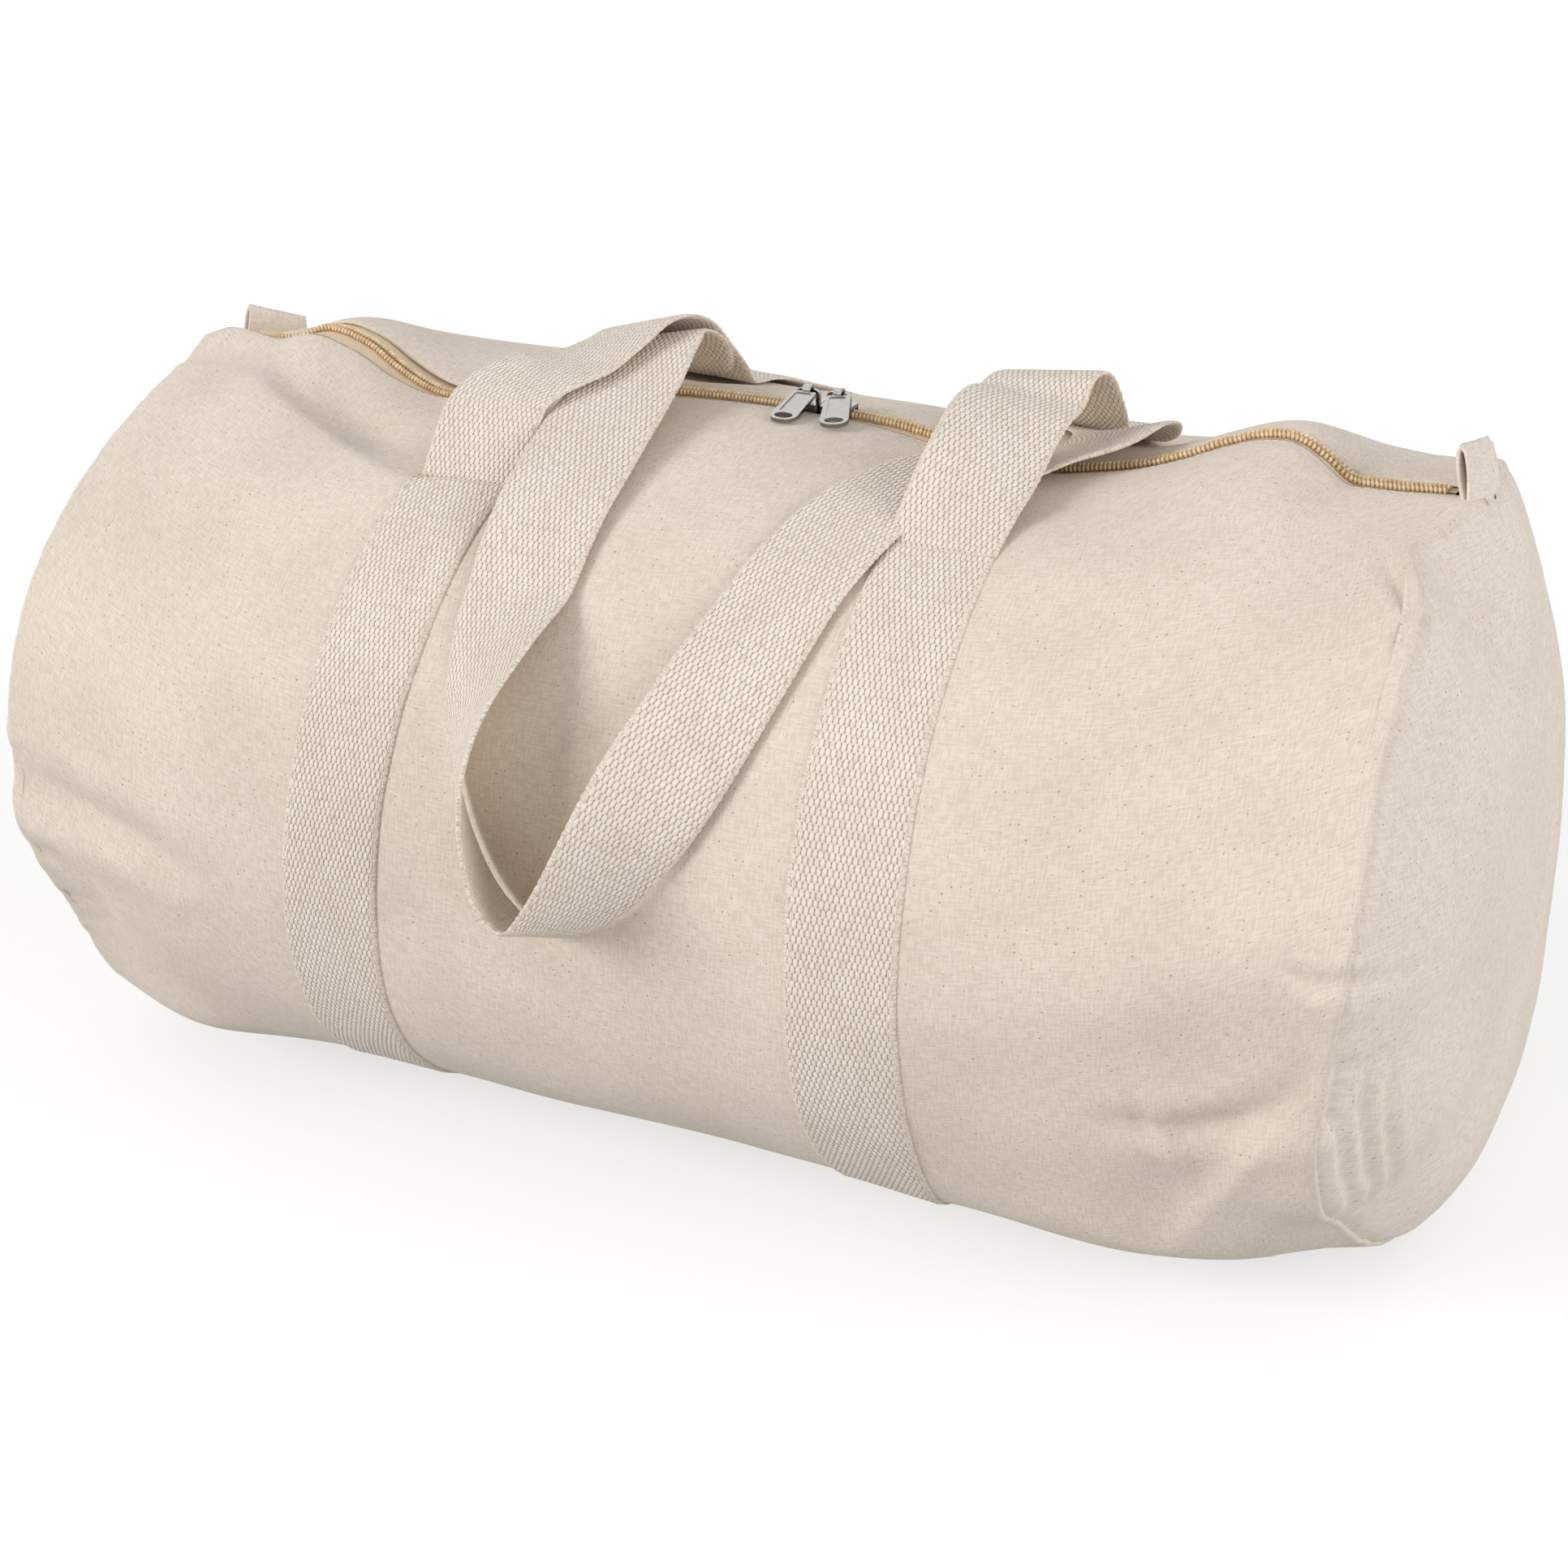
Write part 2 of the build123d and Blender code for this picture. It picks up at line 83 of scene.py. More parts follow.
def rise(x, points):
    """A smooth line through (x, value) points, both in millimetres, given back in metres."""
    knots = np.array(points, float) / 1000
    fine = np.linspace(knots[0, 0], knots[-1, 0], 601)
    i = np.clip(np.searchsorted(knots[:, 0], fine, side="right") - 1, 0, len(knots) - 2)
    slopes = np.gradient(knots[:, 1], knots[:, 0])
    gap = knots[i + 1, 0] - knots[i, 0]
    t = (fine - knots[i, 0]) / gap
    values = (
        (2 * t**3 - 3 * t**2 + 1) * knots[i, 1]
        + (t**3 - 2 * t**2 + t) * gap * slopes[i]
        + (3 * t**2 - 2 * t**3) * knots[i + 1, 1]
        + (t**3 - t**2) * gap * slopes[i + 1]
    )
    return np.interp(x, fine, values)


def ease(t):
    """0 below 0, 1 above 1, smooth between."""
    t = np.clip(t, 0, 1)
    return t * t * (3 - 2 * t)


# by place along the bag, in millimetres: the zip's height over the CAD zip, and its sway to
# the front (-) or the back; both come back to about 0 where the sliders stop
ZIP_LIFT = [
    (-250, -7), (-238, -4), (-225, -0.4), (-214, 0), (-204, 0.6), (-189, 5.6), (-172, 3),
    (-150, -5), (-132, -9), (-110, -8), (-80, -3), (-40, 0), (24, 0), (44, -1), (60, -3),
    (84, -6), (104, -7), (122, -5), (138, -2), (150, 2), (162, 7), (176, 11.5), (188, 11.5),
    (198, 6.0), (205, 0.8), (214, 0), (222, 0), (232, 0.5), (252, 1),
]
ZIP_SWAY = [
    (-250, 0), (-222, 0), (-206, 0.6), (-196, 3), (-186, 4.6), (-170, 3), (-155, -2),
    (-140, -7), (-130, -9.5), (-105, -7), (-60, -1), (0, 0), (26, 0), (56, -1), (80, -5),
    (103, -8), (125, -6), (148, -2), (176, 1), (190, 0.6), (204, 0), (252, 0),
]

# how far the right end seam strays along the bag, by its reach from the zip
SEAM_SWAY = [
    (-480, 0), (-400, -3), (-345, -10), (-290, -11), (-245, -9), (-222, -5), (-200, -2),
    (-120, 0.5), (-84, 1), (-68, -2), (-50, -8), (-34, -3), (-14, 4), (0, 7), (24, 5),
    (60, 0), (480, 0),
]


def zip_line(x):
    """The zip's middle, on top of its coil's tape, as sway and height."""
    return rise(x, ZIP_SWAY), rise(x, ZIP_LIFT)


# ---- the stuffed canvas, as a skin that everything sewn to it follows ---------------
def barrel(along, turn):
    """The bare stuffed shape: along is 0 in the middle, turn runs from the top to the front."""
    u = along / HALF_LENGTH
    swell = 1 - 0.067 * np.abs(u) ** 3
    side, up = np.sin(turn), np.cos(turn)
    power = 2 / 2.15
    right = np.clip(u, 0, 1)
    y = -np.sign(side) * np.abs(side) ** power * HALF_DEPTH * swell * (1 - 0.012 * right**2)
    z = np.sign(up) * np.abs(up) ** power * HALF_HEIGHT * swell
    z = z + 0.0116 * right**2 * ease(z / HALF_HEIGHT)
    floor = -HALF_HEIGHT * 0.97
    z = floor + np.log1p(np.exp((z - floor) * 500)) / 500
    lean = np.where(u > 0, 0.054 * right**3, -0.0086 * np.clip(-u, 0, 1) ** 3)
    return np.stack([along + MIDDLE_X - lean * z, y, z + MIDDLE_Z], -1)


def crease(x, reach, path, width, depth, tapered=True):
    """A soft valley along a path of (x, reach) points in millimetres, with a rise beside it."""
    path = np.array(path, float) / 1000
    best = np.full(x.shape, 1e9)
    where = np.zeros(x.shape)
    lengths = np.linalg.norm(np.diff(path, axis=0), axis=1)
    total, gone = lengths.sum(), 0.0
    for (ax, ar), (bx, br), length in zip(path[:-1], path[1:], lengths):
        dx, dr = (bx - ax) / length, (br - ar) / length
        t = np.clip((x - ax) * dx + (reach - ar) * dr, 0, length)
        away = np.hypot(x - ax - t * dx, reach - ar - t * dr)
        near = away < best
        best = np.where(near, away, best)
        where = np.where(near, (gone + t) / total, where)
        gone += length
    taper = np.sin(np.pi * np.clip(where, 0, 1)) ** 0.6 if tapered else 1.0
    w = width / 1000
    valley = np.exp(-((best / w) ** 2))
    shoulder = np.exp(-(((best - 2 * w) / (1.1 * w)) ** 2))
    return depth / 1000 * (-valley + 0.45 * shoulder) * taper


def step(x, reach, path, width, depth, soft):
    """A ridge along a path, the cloth falling away on its left hand as the path runs."""
    path = np.array(path, float) / 1000
    best, off = np.full(x.shape, 1e9), np.zeros(x.shape)
    where = np.zeros(x.shape)
    for k, ((ax, ar), (bx, br)) in enumerate(zip(path[:-1], path[1:])):
        length = math.hypot(bx - ax, br - ar)
        dx, dr = (bx - ax) / length, (br - ar) / length
        t = np.clip((x - ax) * dx + (reach - ar) * dr, 0, length)
        away = np.hypot(x - ax - t * dx, reach - ar - t * dr)
        near = away < best
        best = np.where(near, away, best)
        off = np.where(near, (reach - ar) * dx - (x - ax) * dr, off)
        where = np.where(near, (k + t / length) / (len(path) - 1), where)
    off = off * 1000
    t = (off + np.sqrt(off**2 + soft**2)) / 2 / width
    crest = 0.2 * np.exp(-((off / (2 * soft + 2)) ** 2))
    return depth / 1000 * (crest - t * np.exp(1 - t)) * np.sin(np.pi * where) ** 0.5


def dent(x, reach, centre, size, depth, turn=0):
    """A broad hollow, or a swelling if depth is negative, centred in millimetres."""
    c, s = math.cos(math.radians(turn)), math.sin(math.radians(turn))
    dx, dr = x - centre[0] / 1000, reach - centre[1] / 1000
    a, b = (dx * c + dr * s) * 1000 / size[0], (-dx * s + dr * c) * 1000 / size[1]
    return -depth / 1000 * np.exp(-(a * a + b * b))


def ripple(x, reach, seed, size):
    """Slow unevenness of stuffed cloth, between -1 and 1, size being its waves in mm."""
    dice = np.random.default_rng(seed)
    total = 0
    for _ in range(7):
        angle, phase = dice.uniform(0, math.pi), dice.uniform(0, 2 * math.pi)
        wave = 2 * math.pi / (size / 1000 * dice.uniform(0.7, 1.6))
        total = total + np.sin(wave * (x * math.cos(angle) + reach * math.sin(angle)) + phase)
    return total / 7


# (path, width, depth): folds and creases pressed into the cloth
CREASES = [
    # a faint fold running down from the zip's left end, and the fullness at the far left
    ([(-205, -14), (-192, -28), (-176, -44), (-160, -50)], 6, 1.6),
    ([(-196, -60), (-180, -86), (-157, -118), (-133, -139)], 13, 1.4),
    # the slack at the lower left, and its puckers
    ([(-240, -209), (-222, -220), (-200, -229), (-174, -238), (-152, -252)], 8, 5.0),
    ([(-236, -246), (-222, -250), (-212, -262), (-205, -282)], 4.5, 2.0),
    # from the right end of the zip to the seam, and the seam's upper wrinkles
    ([(241, -20), (238, -36), (234, -54)], 2.6, 1.1),
    ([(226, -56), (238, -74), (243, -84), (241, -100)], 2.6, 1.5),
    ([(236, -64), (231, -92), (222, -121), (207, -142)], 12, 2.6),
    ([(250, -98), (240, -118), (236, -140)], 4, 0.7),
    # the belly that sags over the lower right corner
    ([(226, -198), (239, -204), (251, -198)], 2.8, 1.8),
    ([(248, -219), (244, -236), (234, -253), (220, -264), (203, -272), (172, -277)], 6, 2.6),
    ([(187, -240), (194, -262), (196, -282), (207, -310)], 3.2, -1.7),
]
# (path, width, depth, softness): ridges, with the cloth falling away on one side
STEPS = [
    ([(-208, -34), (-196, -42), (-178, -52), (-161, -60), (-144, -67), (-127, -77),
      (-110, -86), (-90, -94)], 13, 3.6, 1.5),
    # the belly that overhangs the lower right corner, and the ridge down to the corner
    ([(252, -193), (238, -198), (220, -203), (196, -219), (180, -232), (141, -245),
      (96, -252)], 34, 6.5, 9),
    ([(190, -350), (200, -328), (216, -293), (226, -266), (237, -250), (245, -235),
      (248, -219)], 9, 3.6, 1.5),
]
# (centre, size, depth, turn): broad hollows, or swellings where the depth is negative
DENTS = [
    ((-142, -46), (38, 14), 4.5, -28),       # hollow between the zip and the left fold
    ((-206, -66), (22, 20), -1.5, 0),
    ((-236, -92), (34, 60), 3.0, 0),
    ((-226, -8), (24, 9), -6.5, 0),          # the front edge covers the zip by its end
    ((-240, 26), (20, 26), 12.0, 0),         # the end drops away behind the hump
    ((30, 74), (120, 46), 9.5, 0),           # the back falls away behind the zip
    ((-46, 54), (36, 36), 5.0, 0),           # where the front handle runs down the back
    ((-146, 58), (40, 26), 2.5, 0),
    ((128, 62), (42, 34), 9.0, 0),
    ((224, 66), (26, 34), 4.0, 0),
    ((-226, -280), (30, 36), 8.0, 0),        # lower left, pulled in over its corner
    ((-196, -345), (44, 26), -10.0, 0),      # and the corner itself, lying fuller
    ((18, -66), (62, 24), 1.6, 0),           # soft hollow in front of the sliders
    ((128, -48), (30, 16), 2.6, 10),         # beside the right handle
    ((214, -214), (44, 24), -3.0, -20),      # the sagging belly
    ((240, -292), (14, 34), -2.2, 10),       # and the smooth cloth beside its corner ridge
    ((172, -354), (58, 26), -9.0, 0),
    ((252, -338), (24, 34), 11.0, 0),
]


def cloth_relief(x, reach):
    """How far the cloth stands off the bare stuffed shape."""
    total = 0.0011 * ripple(x, reach, 3, 95) + 0.0004 * ripple(x, reach, 8, 38)
    for path, width, depth in CREASES:
        total = total + crease(x, reach, path, width, depth)
    for path, width, depth, soft in STEPS:
        total = total + step(x, reach, path, width, depth, soft)
    for centre, size, depth, turn in DENTS:
        total = total + dent(x, reach, centre, size, depth, turn)
    dice = np.random.default_rng(21)
    for side in (-1, 1):
        # short puckers where the end seam gathers the cloth
        seam = MIDDLE_X + side * HALF_LENGTH
        for _ in range(46):
            at, run = dice.uniform(-0.47, 0.47), dice.uniform(9, 26)
            tilt, width = dice.uniform(-7, 7), dice.uniform(2.2, 4.5)
            depth = dice.uniform(0.15, 0.7)
            path = [(seam * 1000, at * 1000), (seam * 1000 - side * run, at * 1000 + tilt)]
            close = (np.abs(x - seam) < 0.045) & (np.abs(reach - at) < 0.03)
            if close.any():
                total = total + np.where(
                    close, crease(x, reach, path, width, depth, tapered=False)
                    * ease(1.2 - np.abs(x - seam) * 1000 / run), 0)
    return total


# the skin's grid: places along the bag, and shares of the way round it, 0 being the zip
ALONG = np.linspace(-HALF_LENGTH, HALF_LENGTH, 261)
ROUND = np.linspace(-0.5, 0.5, 521)


def make_skin():
    """Points and outward directions over the canvas, by place along and round the bag."""
    turn = np.linspace(-math.pi, math.pi, 1441)
    ring = barrel(ALONG[:, None], -turn[None, :])
    steps = np.linalg.norm(np.diff(ring[..., 1:], axis=1), axis=-1)
    run = np.concatenate([np.zeros((len(ALONG), 1)), np.cumsum(steps, 1)], 1)
    girth = run[:, -1]
    points = np.zeros((len(ALONG), len(ROUND), 3))
    for i in range(len(ALONG)):
        for k in range(3):
            points[i, :, k] = np.interp((ROUND + 0.5) * girth[i], run[i], ring[i, :, k])
    reach = ROUND[None, :] * girth[:, None]
    points[..., 0] += rise(reach, SEAM_SWAY) * np.clip(ALONG / HALF_LENGTH, 0, 1)[:, None] ** 7
    # the top sways and dips with the zip
    sway, lift = zip_line(points[:, len(ROUND) // 2, 0])
    top = points[:, len(ROUND) // 2, 2]
    front = np.where(reach < 0, 0.062, 0.05)
    fade = np.exp(-((reach / front) ** 2))
    points[..., 2] += (ZIP_TOP + lift - top)[:, None] * fade
    points[..., 1] += sway[:, None] * np.exp(-((reach / 0.045) ** 2))
    points[..., 2] -= 0.0013 * np.exp(-((reach / 0.011) ** 4))
    outward = directions(points)
    points = points + outward * cloth_relief(points[..., 0], reach)[..., None]
    points[..., 2] = np.maximum(points[..., 2], FLOOR_GAP)
    return points, directions(points), girth


def directions(points):
    """The outward direction of the skin at each of its points."""
    along = np.gradient(points, axis=0)
    round_ = np.gradient(points, axis=1)
    seam = (points[:, 1] - points[:, -2]) / 2
    round_[:, 0] = seam
    round_[:, -1] = seam
    out = np.cross(along, round_)
    return out / np.maximum(np.linalg.norm(out, axis=-1, keepdims=True), 1e-12)


SKIN, OUTWARD, GIRTH = make_skin()


def on_bag(along, reach, lift=0.0):
    """Points on the canvas at a place along the bag and a reach from the zip, - to the front."""
    along, reach, lift = np.broadcast_arrays(
        np.asarray(along, float), np.asarray(reach, float), np.asarray(lift, float))
    i = np.clip((along + HALF_LENGTH) / (2 * HALF_LENGTH), 0, 1) * (len(ALONG) - 1)
    girth = np.interp(i, np.arange(len(ALONG)), GIRTH)
    j = ((reach / girth + 0.5) % 1.0) * (len(ROUND) - 1)
    i0 = np.minimum(i.astype(int), len(ALONG) - 2)
    j0 = np.minimum(j.astype(int), len(ROUND) - 2)
    fi, fj = (i - i0)[..., None], (j - j0)[..., None]

    def mixed(grid):
        return ((grid[i0, j0] * (1 - fj) + grid[i0, j0 + 1] * fj) * (1 - fi)
                + (grid[i0 + 1, j0] * (1 - fj) + grid[i0 + 1, j0 + 1] * fj) * fi)

    out = mixed(OUTWARD)
    out = out / np.linalg.norm(out, axis=-1, keepdims=True)
    return mixed(SKIN) + out * lift[..., None], out


# ---- materials -----------------------------------------------------------------------
def add(tree, kind, values=None, **settings):
    """A node with its settings, its unlinked values by socket name or number."""
    node = tree.nodes.new(kind)
    for name, value in settings.items():
        setattr(node, name, value)
    for socket, value in (values or {}).items():
        node.inputs[socket].default_value = value
    return node


def colour(code):
    """An sRGB hex code as the linear colour that a shader takes."""
    parts = [int(code[i:i + 2], 16) / 255 for i in (0, 2, 4)]
    linear = [c / 12.92 if c <= 0.04045 else ((c + 0.055) / 1.055) ** 2.4 for c in parts]
    return (*linear, 1.0)


def maths(tree, operation, *terms):
    """One sum, each term being a number or the output that feeds it."""
    node = add(tree, "ShaderNodeMath", operation=operation)
    for i, term in enumerate(terms):
        if isinstance(term, (int, float)):
            node.inputs[i].default_value = term
        else:
            tree.links.new(term, node.inputs[i])
    return node.outputs[0]


def mixed_colour(tree, share, first, second):
    """The second colour laid over the first, by share."""
    node = add(tree, "ShaderNodeMix", data_type="RGBA")
    for socket, value in ((0, share), (6, first), (7, second)):
        if isinstance(value, (int, float, tuple)):
            node.inputs[socket].default_value = value
        else:
            tree.links.new(value, node.inputs[socket])
    return node.outputs[2]


def ramp(tree, value, low, high):
    """0 below low, 1 above high, smooth between."""
    node = add(tree, "ShaderNodeMapRange", {"From Min": low, "From Max": high},
               interpolation_type="SMOOTHSTEP")
    tree.links.new(value, node.inputs["Value"])
    return node.outputs[0]


def new_finish(name, roughness):
    """A material with its nodes, and the shader that they feed."""
    material = bpy.data.materials.new(name)
    material.use_nodes = True
    tree = material.node_tree
    shader = tree.nodes["Principled BSDF"]
    shader.inputs["Roughness"].default_value = roughness
    return material, tree, shader


def cloth_place(tree, scale):
    """The cloth's own coordinates in millimetres, stretched by scale."""
    place = add(tree, "ShaderNodeUVMap", uv_map="cloth")
    mapping = add(tree, "ShaderNodeMapping", {"Scale": tuple(1000 * s for s in scale)})
    tree.links.new(place.outputs[0], mapping.inputs["Vector"])
    return mapping.outputs[0]


def noise(tree, place, detail):
    """Unevenness with waves one unit long, place being already scaled to them."""
    node = add(tree, "ShaderNodeTexNoise", {"Scale": 1.0, "Detail": detail, "Roughness": 0.5})
    tree.links.new(place, node.inputs["Vector"])
    return node.outputs["Fac"]


def seed_flecks(tree, cell, share, size):
    """Specks of cotton seed husk: one in some of the cells, in millimetres."""
    place = cloth_place(tree, (1 / cell, 1.25 / cell, 1))
    spots = add(tree, "ShaderNodeTexVoronoi", {"Scale": 1.0}, voronoi_dimensions="2D")
    tree.links.new(place, spots.inputs["Vector"])
    parts = add(tree, "ShaderNodeSeparateColor")
    tree.links.new(spots.outputs["Color"], parts.inputs[0])
    radius = maths(tree, "MULTIPLY", parts.outputs[1], size / cell)
    inside = maths(tree, "LESS_THAN", spots.outputs["Distance"], radius)
    chosen = maths(tree, "LESS_THAN", parts.outputs[0], share)
    faint = maths(tree, "MULTIPLY_ADD", parts.outputs[2], 0.7, 0.25)
    return maths(tree, "MULTIPLY", maths(tree, "MULTIPLY", inside, chosen), faint)


def canvas_finish(name, base, shade):
    """Unbleached canvas: fine plain weave with slubs, and scattered husk specks.

    The threads are 0.6 mm apart, and their colour is drawn a little coarser than that to show.
    """
    material, tree, shader = new_finish(name, 0.92)
    links = tree.links
    warp = noise(tree, cloth_place(tree, (1 / 5, 1 / 0.75, 1)), 2)
    weft = noise(tree, cloth_place(tree, (1 / 0.75, 1 / 5, 1)), 2)
    threads = maths(tree, "ADD", warp, weft)
    patchy = noise(tree, cloth_place(tree, (1 / 45, 1 / 45, 1)), 3)
    body = mixed_colour(tree, ramp(tree, patchy, 0.3, 0.75), colour(base), colour(shade))
    woven_in = ramp(tree, threads, 0.80, 1.20)
    body = mixed_colour(tree, maths(tree, "MULTIPLY", woven_in, 0.24), body,
                        colour("AE9880"))
    specks = seed_flecks(tree, 3.1, 0.45, 0.42)
    body = mixed_colour(tree, maths(tree, "MULTIPLY", specks, 0.7), body, colour("8F7150"))
    links.new(body, shader.inputs["Base Color"])
    # over-and-under threads, 0.62 mm apart
    checks = add(tree, "ShaderNodeTexChecker", {"Scale": 1.0})
    links.new(cloth_place(tree, (1 / 0.62, 1 / 0.62, 1)), checks.inputs["Vector"])
    height = maths(tree, "MULTIPLY_ADD", checks.outputs["Fac"], 0.35, threads)
    bump = add(tree, "ShaderNodeBump", {"Strength": 0.55, "Distance": 0.00016})
    links.new(height, bump.inputs["Height"])
    links.new(bump.outputs[0], shader.inputs["Normal"])
    shader.inputs["Sheen Weight"].default_value = 0.12
    shader.inputs["Sheen Roughness"].default_value = 0.6
    shader.inputs["Specular IOR Level"].default_value = 0.2
    return material


def cotton_bumps(tree, wide, rows, shift):
    """Rounded yarn floats in every other row of the webbing, the rows between lying staggered."""
    place = add(tree, "ShaderNodeUVMap", uv_map="cloth")
    parts = add(tree, "ShaderNodeSeparateXYZ")
    tree.links.new(place.outputs[0], parts.inputs[0])
    wobble = noise(tree, cloth_place(tree, (0.45, 0.3, 1)), 1)
    heights = []
    for axis, pitch, size in ((0, wide, 0.46), (1, 2 * rows, 0.32)):
        scaled = maths(tree, "MULTIPLY_ADD", parts.outputs[axis], 1 / pitch, shift)
        swayed = maths(tree, "ADD", scaled, maths(tree, "MULTIPLY", wobble, 0.26))
        centred = maths(tree, "SUBTRACT", maths(tree, "FRACT", swayed), 0.5)
        reach = maths(tree, "DIVIDE", centred, size)
        heights.append(maths(tree, "MULTIPLY", reach, reach))
    left = maths(tree, "SUBTRACT", 1.0, maths(tree, "ADD", heights[0], heights[1]))
    return maths(tree, "SQRT", maths(tree, "MAXIMUM", left, 0.0))


def webbing_finish():
    """Heavy cotton webbing: staggered rounded floats 1.9 mm apart, a plain corded edge, and
    painted shade between the floats.
    """
    material, tree, shader = new_finish("cotton_webbing", 0.95)
    links = tree.links
    floats = maths(tree, "MAXIMUM", cotton_bumps(tree, 0.0019, 0.0026, 0.0),
                   cotton_bumps(tree, 0.0019, 0.0026, 0.5))
    place = add(tree, "ShaderNodeUVMap", uv_map="cloth")
    parts = add(tree, "ShaderNodeSeparateXYZ")
    links.new(place.outputs[0], parts.inputs[0])
    off_middle = maths(tree, "ABSOLUTE", parts.outputs[0])
    cord = ramp(tree, off_middle, 0.0174, 0.0178)
    turns = noise(tree, cloth_place(tree, (0.6, 1.3, 1)), 1)
    edge = maths(tree, "MULTIPLY_ADD", turns, 0.8, -0.06)
    floats = maths(tree, "ADD", maths(tree, "MULTIPLY", cord, edge),
                   maths(tree, "MULTIPLY", maths(tree, "SUBTRACT", 1.0, cord), floats))
    fibre = noise(tree, cloth_place(tree, (2.6, 0.5, 1)), 3)
    uneven = noise(tree, cloth_place(tree, (0.42, 0.3, 1)), 1)
    patchy = noise(tree, cloth_place(tree, (1 / 14, 1 / 30, 1)), 2)
    body = mixed_colour(tree, ramp(tree, patchy, 0.3, 0.7), colour("FAF0E5"), colour("F4E9DC"))
    body = mixed_colour(tree, maths(tree, "MULTIPLY", ramp(tree, uneven, 0.45, 0.75), 0.6),
                        body, colour("E2D4C6"))
    # painted shade: the gaps between the floats, and the low dips of the corded edge, are coloured
    # a darker brown
    body = mixed_colour(tree, ramp(tree, floats, 0.5, 0.0), body, colour("BEA588"))
    specks = seed_flecks(tree, 6.0, 0.32, 0.45)
    body = mixed_colour(tree, maths(tree, "MULTIPLY", specks, 0.6), body, colour("8A6A45"))
    links.new(body, shader.inputs["Base Color"])
    height = maths(tree, "MULTIPLY_ADD", fibre, 0.2, floats)
    bump = add(tree, "ShaderNodeBump", {"Strength": 0.9, "Distance": 0.0006})
    links.new(height, bump.inputs["Height"])
    links.new(bump.outputs[0], shader.inputs["Normal"])
    shader.inputs["Sheen Weight"].default_value = 0.12
    shader.inputs["Specular IOR Level"].default_value = 0.2
    return material


def tape_finish():
    """Golden woven zip tape, with a fine rib along it."""
    material, tree, shader = new_finish("golden_zip_tape", 0.85)
    rib = noise(tree, cloth_place(tree, (0.25, 2.6, 1)), 2)
    body = mixed_colour(tree, ramp(tree, rib, 0.3, 0.7), colour("EAD8BE"), colour("E0C8A6"))
    tree.links.new(body, shader.inputs["Base Color"])
    bump = add(tree, "ShaderNodeBump", {"Strength": 0.5, "Distance": 0.0002})
    tree.links.new(rib, bump.inputs["Height"])
    tree.links.new(bump.outputs[0], shader.inputs["Normal"])
    shader.inputs["Specular IOR Level"].default_value = 0.25
    return material


def coil_finish():
    """Golden nylon coil, glossier than its tape, each loop a little different."""
    material, tree, shader = new_finish("golden_nylon_coil", 0.42)
    place = add(tree, "ShaderNodeTexCoord")
    tint = add(tree, "ShaderNodeTexNoise", {"Scale": 320.0, "Detail": 2.0})
    tree.links.new(place.outputs["Object"], tint.inputs["Vector"])
    body = mixed_colour(tree, ramp(tree, tint.outputs["Fac"], 0.35, 0.65), colour("F4DFBC"),
                        colour("DEBD90"))
    tree.links.new(body, shader.inputs["Base Color"])
    return material


def metal_finish():
    """Nickel-plated zinc: bright and faintly cloudy, with a painted dark reflection where it turns
    sideways.
    """
    material, tree, shader = new_finish("nickel_plate", 0.16)
    place = add(tree, "ShaderNodeTexCoord")
    cloud = add(tree, "ShaderNodeTexNoise", {"Scale": 420.0, "Detail": 4.0})
    tree.links.new(place.outputs["Object"], cloud.inputs["Vector"])
    rough = add(tree, "ShaderNodeMapRange", {"From Min": 0.3, "From Max": 0.75,
                                             "To Min": 0.12, "To Max": 0.3})
    tree.links.new(cloud.outputs["Fac"], rough.inputs["Value"])
    tree.links.new(rough.outputs[0], shader.inputs["Roughness"])
    body = mixed_colour(tree, cloud.outputs["Fac"], colour("CFCDC9"), colour("B9B7B2"))
    # painted reflection: faces that turn sideways are darkened towards 4E4B48, as if they mirrored
    # a dark horizon
    turned = add(tree, "ShaderNodeNewGeometry")
    parts = add(tree, "ShaderNodeSeparateXYZ")
    tree.links.new(turned.outputs["Normal"], parts.inputs[0])
    painted_dark_reflection = maths(tree, "MULTIPLY", ramp(tree, maths(tree, "ABSOLUTE", parts.outputs[2]),
                                         0.80, 0.35), 0.62)
    body = mixed_colour(tree, painted_dark_reflection, body, colour("4E4B48"))
    tree.links.new(body, shader.inputs["Base Color"])
    bump = add(tree, "ShaderNodeBump", {"Strength": 0.12, "Distance": 0.0001})
    tree.links.new(cloud.outputs["Fac"], bump.inputs["Height"])
    tree.links.new(bump.outputs[0], shader.inputs["Normal"])
    shader.inputs["Metallic"].default_value = 1.0
    return material


def thread_finish():
    """Cream cotton sewing thread with its twist."""
    material, tree, shader = new_finish("cream_thread", 0.8)
    place = add(tree, "ShaderNodeTexCoord")
    twist = add(tree, "ShaderNodeTexNoise", {"Scale": 900.0, "Detail": 2.0})
    tree.links.new(place.outputs["Object"], twist.inputs["Vector"])
    body = mixed_colour(tree, twist.outputs["Fac"], colour("EDE6D8"), colour("DDD2BF"))
    tree.links.new(body, shader.inputs["Base Color"])
    return material


CANVAS_FINISH = canvas_finish("natural_canvas", "F0E4D6", "E8DBCD")
# painted light: the ends and the tabs take a lighter, cooler copy of the same canvas, standing in
# for how they catch the light
LIGHTER_END_FINISH = canvas_finish("natural_canvas_end_painted_lighter", "F3E8DC", "ECE0D3")
WEBBING_FINISH = webbing_finish()
TAPE_FINISH = tape_finish()
COIL_FINISH = coil_finish()
METAL_FINISH = metal_finish()
THREAD_FINISH = thread_finish()


# ---- making the pieces ---------------------------------------------------------------
def finish_piece(bm, name, material):
    """The bmesh as an object with its finish, at the origin."""
    mesh = bpy.data.meshes.new(name)
    bm.to_mesh(mesh)
    bm.free()
    piece = bpy.data.objects.new(name, mesh)
    bpy.context.scene.collection.objects.link(piece)
    mesh.materials.append(material)
    mesh.shade_smooth()
    return piece


